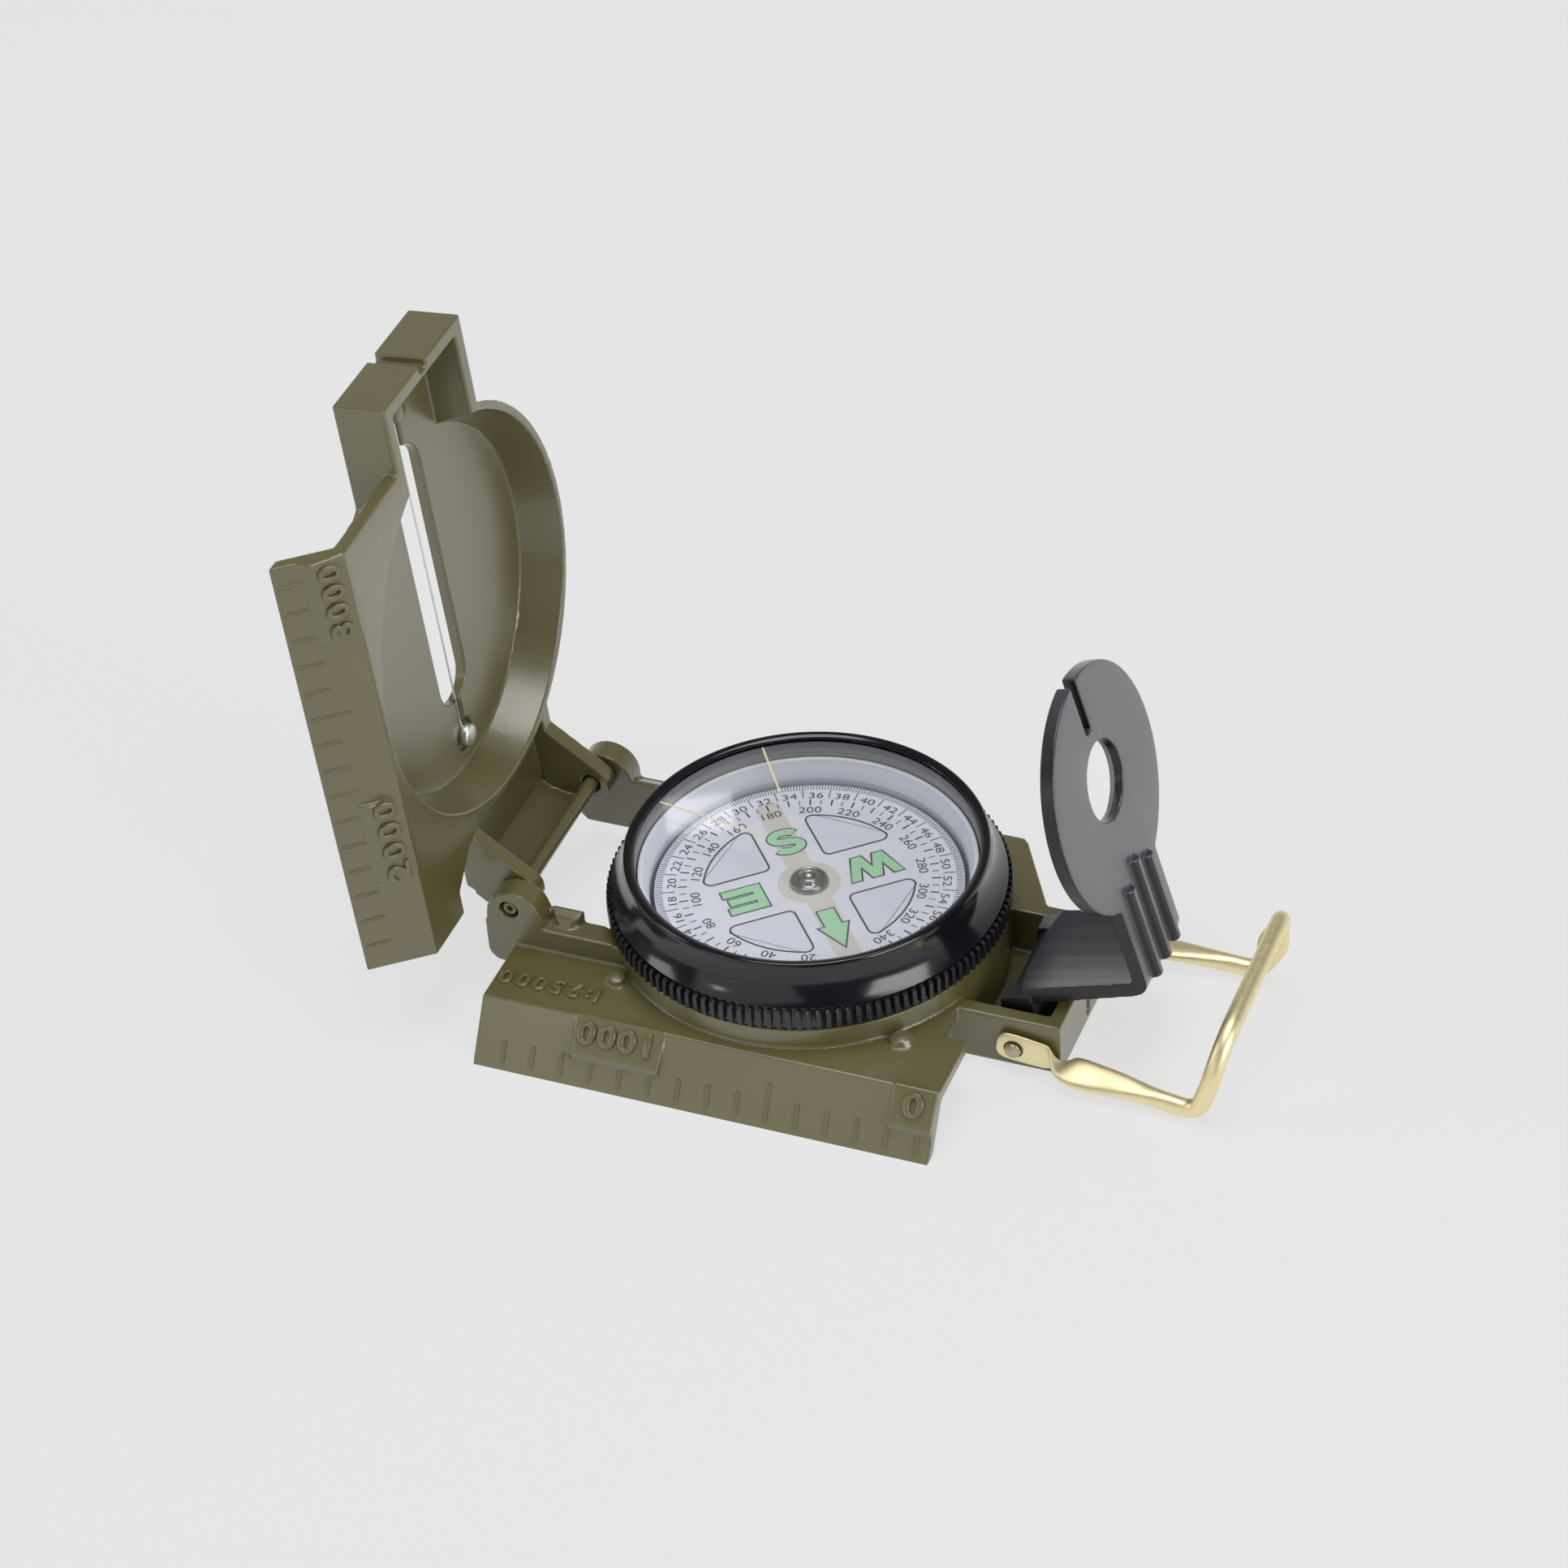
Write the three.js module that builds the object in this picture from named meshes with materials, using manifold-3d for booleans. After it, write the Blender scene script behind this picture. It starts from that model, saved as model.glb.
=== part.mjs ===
// Folding pocket compass with a lidded dial, a lens bracket and a thumb loop.
// Millimetres, +Z up, origin on the table under the dial axis, +X from the lid hinge to the lens.
import * as THREE from 'three';
import { mergeVertices } from 'three/addons/utils/BufferGeometryUtils.js';
import Module from 'manifold-3d';

const wasm = await Module();
wasm.setup();

// Clearances
const FIT = 0.3;
const TURN_GAP = 0.35;
const HINGE_SIDE_GAP = 0.4;
const EAR_CUT_GAP = 1.7;
const BRACKET_SIDE_GAP = 0.55;
const BRACKET_DRUM_GAP = 0.4;
const CAPSULE_GAP = 0.5;
const CARD_GAP = 0.6;

// Round housing
const DRUM_R = 25.5;
const DRUM_WALL = 1.5;
const DRUM_TOP = 10.6;
const DRUM_FLOOR = 1.8;

// Base plate with its bevelled ruler
const PLATE_TOP = 7.65;
const PLATE_THICK = 1.8;
const RULER_MARGIN = 1.4;
const RULER_LEAN = 5.0;
const RULER_WALL = 1.7;
const RULER_HINGE_SHIFT = 0.35;
const RULER_PAST_DRUM = 1.67;
const TAB_NOTCH = 3.27;
const STUD_R = 1.1;
const STUD_HEIGHT = 0.9;
const STUD_OUT = 1.76;
const STUD_ANGLE = 45.7;
const WEB_SIDE_INSET = 2.3;
const WEB_CORNER_INSET = 4.4;
const WEB_BEVEL = 0.8;
const WEB_OUT = 2.8;

// Hinge arms of the base
const HINGE_OUT = 9.55;
const HINGE_UP = 13.15;
const HINGE_PIN_R = 1.0;
const HINGE_PIN_SUNK = 0.4;
const ARM_IN = 13.2;
const ARM_WIDTH = 3.4;
const ARM_LOW = 4.2;
const ARM_HIGH = 10.9;
const ARM_TAIL = 3.55;
const ARM_CORNER = 2.0;
const EAR_R = 3.9;
const EAR_SHIFT = 0.65;
const EAR_DROP = 1.1;
const PEG_R = 2.1;
const PEG_AHEAD = 7.0;
const PEG_HEIGHT = 3.0;
const PEG_SLOPE = 2.4;

// Lens box of the base
const BOX_HALF = 11.2;
const BOX_WALL = 2.15;
const BOX_FLOOR = 1.0;
const BOX_END_WALL = 1.9;
const BOX_END_OUT = 5.85;
const BOX_NOTCH = 1.2;
const BOX_NOTCH_DEPTH = 0.7;
const LENS_PIN_OUT = 6.15;
const LENS_PIN_UP = 3.7;
const LENS_PIN_R = 0.8;
const RIVET_R = 1.15;
const RIVET_HEIGHT = 0.4;

// Bottom cover and its screws
const BOTTOM_INSET = 4.5;
const BOTTOM_THICK = 1.4;
const SCREW_COUNT = 3;
const SCREW_INSET = 4.5;
const SCREW_R = 0.8;
const SCREW_HEAD_R = 1.6;
const SCREW_HEAD = 0.5;
const SCREW_SUNK = 0.1;
const SCREW_SLOT = 0.4;
const SCREW_SLOT_DEPTH = 0.25;

// Capsule, card and pivot
const CAPSULE_HEIGHT = 12.8;
const CAPSULE_WALL = 0.7;
const CAPSULE_STEP = 0.6;
const CAPSULE_STEP_DROP = 1.7;
const CAPSULE_FLOOR = 1.0;
const WINDOW_THICK = 0.6;
const CARD_DROP = 3.3;
const CARD_THICK = 0.6;
const CARD_NORTH = -49.4;
const MAGNET_THICK = 1.0;
const MAGNET_WIDTH = 3.3;
const MAGNET_INSET = 2.5;
const HUB_R = 4.1;
const CAP_R = 2.65;
const CAP_HEIGHT = 1.3;
const CAP_SKIRT = 0.45;
const CAP_TOP_R = 0.9;
const POST_R = 0.6;
const POST_HOLE_R = 1.4;
const POST_TIP_R = 0.15;
const POST_TIP_LENGTH = 2.0;
const POST_FOOT_R = 2.0;
const POST_FOOT = 0.8;
const JEWEL_DEPTH = 0.8;

// Turning bezel
const FLANGE_OVERHANG = 0.75;
const FLANGE_HEIGHT = 3.25;
const SLEEVE_WALL = 1.3;
const SLEEVE_DEPTH = 3.45;
const COVE_INSET = 0.65;
const RIM_INSET = 2.65;
const GLASS_LEDGE = 0.25;
const GLASS_THICK = 1.0;
const LIP_THICK = 0.5;
const LIP_REACH = 0.2;
const SNAP_DROP = 1.95;
const SNAP_HEIGHT = 0.6;
const SNAP_WIDTH = 0.8;
const SNAP_SPLIT = 4.0;

// Lid
const LID_ANGLE = 95;
const LID_FACE_UP = 5.3;
const LID_DEPTH = 5.5;
const LID_FLOOR = 1.55;
const LID_MOUTH_GAP = 0.37;
const LID_MOUTH_SHIFT = 0.4;
const LID_RIM_WALL = 1.18;
const LID_CONE = 1.97;
const LID_RULER_UP = 0.2;
const LID_RULER_START = 0.1;
const LID_RULER_LENGTH = 62.2;
const LID_EDGE_SKEW = 0.7;
const LID_END_SHORT = 0.35;
const LID_END_WALL = 2.0;
const LID_NOTCH = 1.84;
const LID_NOTCH_DEPTH = 1.2;
const LUG_THICK = 2.3;
const KNUCKLE_R = 2.6;
const LUG_REACH = 8.0;
const LUG_ROOT = 2.05;
const TROUGH_TOP = 3.3;
const TROUGH_WALL = 1.2;
const SLOT_HALF = 3.7;
const SLOT_BACK = 14.65;
const SLOT_END_INSET = 13.2;
const WIRE_R = 0.15;
const WIRE_SINK = 0.4;
const WIRE_GROOVE = 1.0;
const WIRE_PEG_R = 1.2;
const WIRE_PEG_HEIGHT = 1.4;
const WIRE_HOLE_R = 2.2;
const WIRE_HOLE_DEPTH = 1.0;
const WIRE_PEG_STEP = 5.5;

// Lens bracket
const BRACKET_ANGLE = 15.7;
const BRACKET_ARM = 2.5;
const BRACKET_TAIL = 1.5;
const BRACKET_BEVEL = 3.35;
const BRACKET_CORNER = 2.0;
const BRACKET_CHEEK = 3.0;
const DISC_R = 15.7;
const DISC_THICK = 1.9;
const DISC_PAST_AXIS = 0.41;
const NECK_HALF = 6.8;
const RIB_R = 1.0;
const RIB_PITCH = 3.6;
const RIB_HEIGHT = 14.3;
const RIB_STEP = 2.1;
const RIB_FOOT = 1.0;
const LENS_HOLE_R = 5.2;
const LENS_ABOVE_DISC = 1.06;
const LENS_THICK = 1.4;
const LENS_EDGE = 0.7;
const SIGHT_WIDTH = 1.6;
const SIGHT_DEPTH = 7.4;

// Thumb loop
const LOOP_ANGLE = 6.2;
const LOOP_WIRE_R = 0.9;
const LOOP_TAB_R = 2.3;
const LOOP_TAB_THICK = 0.8;
const LOOP_TAB_LENGTH = 5.2;
const LOOP_LEG = 25.2;
const LOOP_SPREAD = 13.9;
const LOOP_RISE = 11.5;
const LOOP_BEND = 83.7;
const LOOP_CORNER = 2.6;
const LOOP_BAR_CORNER = 3.0;

// Roundness of turned shapes
const ROUND = 60;
const SMALL_ROUND = 16;
const WIRE_ROUND = 10;
const LOOP_STEPS = 72;
const WELD = 1e-4;

// Places that follow from the sizes
const drumInR = DRUM_R - DRUM_WALL;
const plateLow = PLATE_TOP - PLATE_THICK;
const hingeX = -(DRUM_R + HINGE_OUT);
const lensPinX = DRUM_R + LENS_PIN_OUT;
const boxEndX = lensPinX + BOX_END_OUT;
const boxInHalf = BOX_HALF - BOX_WALL;
const armOut = ARM_IN + ARM_WIDTH;
const rulerTopY = -(DRUM_R + RULER_MARGIN);
const rulerFootY = rulerTopY - RULER_LEAN;
const rulerFoot = RULER_WALL * Math.hypot(RULER_LEAN, PLATE_TOP) / PLATE_TOP;
const rulerLeftX = hingeX + RULER_HINGE_SHIFT;
const rulerRightX = DRUM_R + RULER_PAST_DRUM;
const bottomR = DRUM_R - BOTTOM_INSET;
const screwCircle = bottomR - SCREW_INSET;
const floorLow = BOTTOM_THICK + FIT;
const floorTop = floorLow + DRUM_FLOOR;
const flangeR = DRUM_R + FLANGE_OVERHANG;
const flangeLow = DRUM_TOP + TURN_GAP;
const flangeTop = flangeLow + FLANGE_HEIGHT;
const sleeveOutR = drumInR - FIT;
const sleeveInR = sleeveOutR - SLEEVE_WALL;
const capsuleR = sleeveInR - CAPSULE_GAP;
const capsuleInR = capsuleR - CAPSULE_WALL - CAPSULE_STEP;
const capsuleLow = floorTop + FIT;
const capsuleTop = capsuleLow + CAPSULE_HEIGHT;
const windowLow = capsuleTop + FIT;
const windowTop = windowLow + WINDOW_THICK;
const cardR = capsuleInR - CARD_GAP;
const cardTop = capsuleTop - CARD_DROP;
const cardLow = cardTop - CARD_THICK;
const magnetTop = cardLow - FIT;
const capLow = magnetTop + FIT;
const postFootLow = capsuleLow + CAPSULE_FLOOR + FIT;
const postTip = capLow + JEWEL_DEPTH - FIT;
const glassR = sleeveInR + GLASS_LEDGE;
const glassLow = windowTop + TURN_GAP;
const glassTop = glassLow + GLASS_THICK;
const lipLow = glassTop + FIT;
const rimTop = lipLow + LIP_THICK;
const rimR = flangeR - RIM_INSET;
const snapMid = flangeLow - SNAP_DROP;
const snapMidR = drumInR - FIT / 2;
const armOverPin = PLATE_TOP - LENS_PIN_UP;
const armOverPinTop = armOverPin + BRACKET_ARM;
const bracketHalf = boxInHalf - BRACKET_SIDE_GAP;
const barrelR = LENS_PIN_UP - BOX_FLOOR - FIT;
const discIn = rimTop + FIT - LENS_PIN_UP;
const discOut = discIn + DISC_THICK;
const discUp = lensPinX - DISC_PAST_AXIS;
const lensUp = discUp + LENS_ABOVE_DISC;
const tabIn = BOX_HALF + FIT;
const tabOut = tabIn + LOOP_TAB_THICK;
const rivetIn = tabOut + FIT;
const rivetOut = rivetIn + RIVET_HEIGHT;

// Shape helpers
const radians = THREE.MathUtils.degToRad;

function solid(geometry) {
  geometry.deleteAttribute('normal');
  geometry.deleteAttribute('uv');
  const welded = mergeVertices(geometry, WELD);
  const corners = welded.index.array;
  const kept = [];
  for (let i = 0; i < corners.length; i += 3) {
    const [a, b, c] = corners.slice(i, i + 3);
    if (a !== b && b !== c && c !== a) kept.push(a, b, c);
  }
  const vertProperties = new Float32Array(welded.attributes.position.array);
  const triVerts = new Uint32Array(kept);
  return new wasm.Manifold(new wasm.Mesh({ numProp: 3, vertProperties, triVerts }));
}

function extruded(points, depth) {
  const outline = new THREE.Shape(points.map(([x, y]) => new THREE.Vector2(x, y)));
  return new THREE.ExtrudeGeometry(outline, { depth, bevelEnabled: false });
}

// Outline in (x, y), raised along Z
function prismZ(points, low, high) {
  return solid(extruded(points, high - low).translate(0, 0, low));
}

// Outline in (x, z), drawn out along Y
function prismY(points, low, high) {
  return solid(extruded(points, high - low).rotateX(Math.PI / 2).translate(0, high, 0));
}

// Outline in (y, z), drawn out along X
function prismX(points, low, high) {
  const turn = new THREE.Matrix4().makeBasis(
    new THREE.Vector3(0, 1, 0),
    new THREE.Vector3(0, 0, 1),
    new THREE.Vector3(1, 0, 0),
  );
  return solid(extruded(points, high - low).applyMatrix4(turn).translate(low, 0, 0));
}

function block(x, y, z) {
  return prismZ([[x[0], y[0]], [x[1], y[0]], [x[1], y[1]], [x[0], y[1]]], z[0], z[1]);
}

function arc(x, y, radius, from, to, steps) {
  return Array.from({ length: steps + 1 }, (_, i) => {
    const angle = radians(from + (to - from) * i / steps);
    return [x + radius * Math.cos(angle), y + radius * Math.sin(angle)];
  });
}

// Profile in (radius, z), turned about Z
function turned(profile, segments = ROUND) {
  const closed = profile[0][0] > 0;
  const loop = closed ? [...profile, profile[0]] : profile;
  const points = loop.map(([r, z]) => new THREE.Vector2(r, z));
  return solid(new THREE.LatheGeometry(points, segments).rotateX(Math.PI / 2));
}

function discZ(radius, low, high, segments = ROUND) {
  return turned([[0, low], [radius, low], [radius, high], [0, high]], segments);
}

function ringZ(inner, outer, low, high, segments = ROUND) {
  return turned([[inner, low], [outer, low], [outer, high], [inner, high]], segments);
}

function rodZ(x, y, radius, low, high) {
  return discZ(radius, low, high, SMALL_ROUND).translate([x, y, 0]);
}

function rodY(x, z, radius, low, high, segments = SMALL_ROUND) {
  const rod = new THREE.CylinderGeometry(radius, radius, high - low, segments);
  return solid(rod.translate(x, (low + high) / 2, z));
}

function rodX(y, z, radius, low, high, segments = SMALL_ROUND) {
  const rod = new THREE.CylinderGeometry(radius, radius, high - low, segments);
  return solid(rod.rotateZ(Math.PI / 2).translate((low + high) / 2, y, z));
}

function joined(bodies) {
  return bodies.reduce((sum, body) => sum.add(body));
}

function cut(body, tools) {
  return tools.reduce((rest, tool) => rest.subtract(tool), body);
}

function piece(name, body, material) {
  const data = body.getMesh();
  const geometry = new THREE.BufferGeometry();
  geometry.setAttribute('position', new THREE.BufferAttribute(data.vertProperties, 3));
  geometry.setIndex(new THREE.BufferAttribute(data.triVerts, 1));
  geometry.computeVertexNormals();
  const mesh = new THREE.Mesh(geometry, material);
  mesh.name = name;
  return mesh;
}

function paint(color, roughness, metalness) {
  return new THREE.MeshStandardMaterial({ color, roughness, metalness });
}

const bothSides = (make) => [make(-1), make(1)];
const span = (side, inner, outer) => (side > 0 ? [inner, outer] : [-outer, -inner]);

// Base casting
function baseBody() {
  const drum = discZ(DRUM_R, 0, DRUM_TOP);
  const notchX = rulerRightX - TAB_NOTCH;
  const plate = prismZ([
    [rulerLeftX, rulerTopY],
    [rulerRightX, rulerTopY],
    [rulerRightX, -armOut],
    [notchX, -armOut],
    [notchX, -boxInHalf],
    [0, -boxInHalf],
    [0, -ARM_IN - ARM_WIDTH / 2],
    [rulerLeftX, -ARM_IN - ARM_WIDTH / 2],
  ], plateLow, PLATE_TOP);
  const ruler = prismX([
    [rulerTopY, PLATE_TOP],
    [rulerFootY, 0],
    [rulerFootY + rulerFoot, 0],
    [rulerFootY + rulerFoot + RULER_LEAN * plateLow / PLATE_TOP, plateLow],
    [-armOut, plateLow],
    [-armOut, PLATE_TOP],
  ], rulerLeftX, rulerRightX);
  const webSide = DRUM_R - WEB_SIDE_INSET;
  const webCorner = DRUM_R - WEB_CORNER_INSET;
  const web = prismZ([
    [0, boxInHalf],
    [DRUM_R + WEB_OUT, boxInHalf],
    [DRUM_R + WEB_OUT, BOX_HALF],
    [webCorner + WEB_BEVEL, webSide - WEB_BEVEL],
    [webCorner, webSide],
    [0, webSide],
  ], plateLow, PLATE_TOP);
  const box = block([0, boxEndX], [-BOX_HALF, BOX_HALF], [0, PLATE_TOP]);
  const studAngle = radians(STUD_ANGLE);
  const studX = (DRUM_R + STUD_OUT) * Math.cos(studAngle);
  const studY = -(DRUM_R + STUD_OUT) * Math.sin(studAngle);
  const studs = bothSides((side) => rodZ(side * studX, studY, STUD_R, plateLow, PLATE_TOP + STUD_HEIGHT));
  const arms = bothSides(hingeArm);
  const casting = joined([drum, plate, ruler, web, box, ...studs, ...arms]);

  const lensRoom = block(
    [0, boxEndX - BOX_END_WALL],
    [-boxInHalf, boxInHalf],
    [BOX_FLOOR, DRUM_TOP],
  ).subtract(discZ(DRUM_R, 0, DRUM_TOP + FIT));
  const endNotch = block(
    [boxEndX - BOX_NOTCH_DEPTH, boxEndX + FIT],
    [-BOX_NOTCH / 2, BOX_NOTCH / 2],
    [BOX_FLOOR, PLATE_TOP + FIT],
  );
  const snapRoom = ringZ(
    drumInR - FIT,
    snapMidR + SNAP_WIDTH / 2 + FIT,
    snapMid - SNAP_HEIGHT / 2 - FIT,
    snapMid + SNAP_HEIGHT / 2 + FIT,
  );
  const screwHoles = screwPlaces().map(([x, y]) => rodZ(x, y, SCREW_R + FIT, 0, floorTop + FIT));
  return cut(casting, [
    discZ(drumInR, floorTop, HINGE_UP),
    discZ(flangeR + FIT, DRUM_TOP, HINGE_UP),
    discZ(bottomR + FIT, -FIT, floorLow),
    snapRoom,
    lensRoom,
    endNotch,
    rodY(lensPinX, LENS_PIN_UP, LENS_PIN_R + FIT, -BOX_HALF - FIT, BOX_HALF + FIT),
    rodY(hingeX, HINGE_UP, HINGE_PIN_R + FIT, -armOut - FIT, armOut + FIT),
    ...screwHoles,
  ]);
}

// Hinge arm with its rounded ear and its stop peg
function hingeArm(side) {
  const earX = hingeX + EAR_SHIFT;
  const earZ = HINGE_UP - EAR_DROP;
  const tailX = hingeX - ARM_TAIL;
  const bar = prismY([
    [tailX, ARM_HIGH],
    ...arc(tailX + ARM_CORNER, ARM_LOW + ARM_CORNER, ARM_CORNER, 180, 270, 5),
    [-DRUM_R / 2, ARM_LOW],
    [-DRUM_R / 2, ARM_HIGH],
  ], ...span(side, ARM_IN, armOut));
  const ear = prismY([
    ...arc(earX, earZ, EAR_R, 0, 180, 16),
    [earX - EAR_R, ARM_LOW + ARM_CORNER],
    [earX + EAR_R, ARM_LOW + ARM_CORNER],
  ], ...span(side, ARM_IN, armOut));
  const pegX = hingeX + PEG_AHEAD;
  const pegTop = ARM_HIGH + PEG_HEIGHT;
  const peg = prismZ(arc(pegX, side * ARM_IN, PEG_R, side > 0 ? 0 : 180, side > 0 ? 180 : 360, 12),
    plateLow, pegTop);
  const slope = prismX([
    [side * ARM_IN, plateLow],
    [side * ARM_IN, pegTop],
    [side * (ARM_IN + PEG_R), pegTop - PEG_SLOPE],
    [side * (ARM_IN + PEG_R), plateLow],
  ], pegX - PEG_R, pegX + PEG_R);
  return joined([bar, ear, peg.intersect(slope)]);
}

function screwPlaces() {
  return Array.from({ length: SCREW_COUNT }, (_, i) => {
    const angle = radians(90 + 360 * i / SCREW_COUNT);
    return [screwCircle * Math.cos(angle), screwCircle * Math.sin(angle)];
  });
}

function bottomCover() {
  const holes = screwPlaces().flatMap(([x, y]) => [
    rodZ(x, y, SCREW_R + FIT, -FIT, floorLow),
    rodZ(x, y, SCREW_HEAD_R + FIT, -FIT, SCREW_SUNK + SCREW_HEAD + FIT),
  ]);
  return cut(discZ(bottomR, 0, BOTTOM_THICK), holes);
}

function baseScrew() {
  const headTop = SCREW_SUNK + SCREW_HEAD;
  const screw = turned([
    [0, SCREW_SUNK],
    [SCREW_HEAD_R, SCREW_SUNK],
    [SCREW_HEAD_R, headTop],
    [SCREW_R, headTop],
    [SCREW_R, floorTop - FIT],
    [0, floorTop - FIT],
  ], SMALL_ROUND);
  const slot = block(
    [-SCREW_HEAD_R - FIT, SCREW_HEAD_R + FIT],
    [-SCREW_SLOT / 2, SCREW_SLOT / 2],
    [0, SCREW_SUNK + SCREW_SLOT_DEPTH],
  );
  return screw.subtract(slot);
}

// Capsule, pivot, card and needle magnet
function capsuleBowl() {
  const stepTop = capsuleTop - CAPSULE_STEP_DROP;
  return turned([
    [0, capsuleLow],
    [capsuleR, capsuleLow],
    [capsuleR, capsuleTop],
    [capsuleR - CAPSULE_WALL, capsuleTop],
    [capsuleR - CAPSULE_WALL, stepTop],
    [capsuleInR, stepTop],
    [capsuleInR, capsuleLow + CAPSULE_FLOOR],
    [0, capsuleLow + CAPSULE_FLOOR],
  ]);
}

function pivotPost() {
  return turned([
    [0, postFootLow],
    [POST_FOOT_R, postFootLow],
    [POST_FOOT_R, postFootLow + POST_FOOT],
    [POST_R, postFootLow + POST_FOOT],
    [POST_R, postTip - POST_TIP_LENGTH],
    [POST_TIP_R, postTip],
    [0, postTip],
  ], SMALL_ROUND);
}

function magnetBar() {
  const reach = cardR - MAGNET_INSET;
  const magnetLow = magnetTop - MAGNET_THICK;
  const bar = block([-reach, reach], [-MAGNET_WIDTH / 2, MAGNET_WIDTH / 2], [magnetLow, magnetTop]);
  const hub = discZ(HUB_R, magnetLow, magnetTop, SMALL_ROUND * 2);
  return bar.add(hub).subtract(rodZ(0, 0, POST_HOLE_R, magnetLow - FIT, magnetTop + FIT));
}

function jewelCap() {
  const shoulder = capLow + CAP_SKIRT;
  const top = capLow + CAP_HEIGHT;
  const dome = [30, 60].map((angle) => [
    CAP_TOP_R + (CAP_R - CAP_TOP_R) * Math.cos(radians(angle)),
    shoulder + (top - shoulder) * Math.sin(radians(angle)),
  ]);
  return turned([
    [0, capLow + JEWEL_DEPTH],
    [POST_HOLE_R, capLow],
    [CAP_R, capLow],
    [CAP_R, shoulder],
    ...dome,
    [CAP_TOP_R, top],
    [0, top],
  ], SMALL_ROUND * 2);
}

// Bezel with its coved rim, its snap ring and its glass
function bezelRing() {
  const coveR = flangeR - COVE_INSET;
  const seatR = glassR + FIT;
  const coveTop = lipLow;
  const cove = [0.15, 0.35, 0.55, 0.75, 0.9].map((share) => [
    rimR + (coveR - rimR) * (1 - share) ** 2,
    flangeTop + (coveTop - flangeTop) * share,
  ]);
  const grooveR = snapMidR - SNAP_WIDTH / 2 - FIT;
  const grooveHalf = SNAP_HEIGHT / 2 + FIT;
  return turned([
    [sleeveInR, flangeLow - SLEEVE_DEPTH],
    [sleeveOutR, flangeLow - SLEEVE_DEPTH],
    [sleeveOutR, snapMid - grooveHalf],
    [grooveR, snapMid - grooveHalf],
    [grooveR, snapMid + grooveHalf],
    [sleeveOutR, snapMid + grooveHalf],
    [sleeveOutR, flangeLow],
    [flangeR, flangeLow],
    [flangeR, flangeTop],
    [coveR, flangeTop],
    ...cove,
    [rimR, coveTop],
    [(rimR * 2 + seatR) / 3, rimTop],
    [(rimR + seatR * 2) / 3, rimTop],
    [sleeveInR - LIP_REACH, lipLow + LIP_THICK / 3],
    [sleeveInR - LIP_REACH, lipLow],
    [seatR, lipLow],
    [seatR, glassLow - FIT],
    [sleeveInR, glassLow - FIT],
  ]);
}

function snapRing() {
  const low = snapMid - SNAP_HEIGHT / 2;
  const high = snapMid + SNAP_HEIGHT / 2;
  const ring = ringZ(snapMidR - SNAP_WIDTH / 2, snapMidR + SNAP_WIDTH / 2, low, high);
  const split = block([drumInR / 2, DRUM_R], [-SNAP_SPLIT / 2, SNAP_SPLIT / 2], [low - FIT, high + FIT]);
  return ring.subtract(split);
}

// Lid in its own frame: origin on the hinge axis, x along the closed lid, z up
const lidCentre = DRUM_R + HINGE_OUT - LID_MOUTH_SHIFT;
const lidMouthR = DRUM_R + LID_MOUTH_GAP;
const lidRimR = lidMouthR + LID_RIM_WALL;
const lidFloorIn = LID_FACE_UP + LID_DEPTH;
const lidTop = lidFloorIn + LID_FLOOR;
const lidEnd = boxEndX - LID_END_SHORT - hingeX;
const lugOut = ARM_IN - HINGE_SIDE_GAP;
const lugIn = lugOut - LUG_THICK;
const wireUp = lidFloorIn + WIRE_SINK;
const slotStart = lidCentre - SLOT_BACK;
const slotEnd = lidEnd - SLOT_END_INSET;
const lowPegX = slotStart - WIRE_PEG_STEP;
const highPegX = slotEnd + WIRE_PEG_STEP;
const wirePegLow = lidFloorIn + WIRE_HOLE_DEPTH - FIT;

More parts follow.
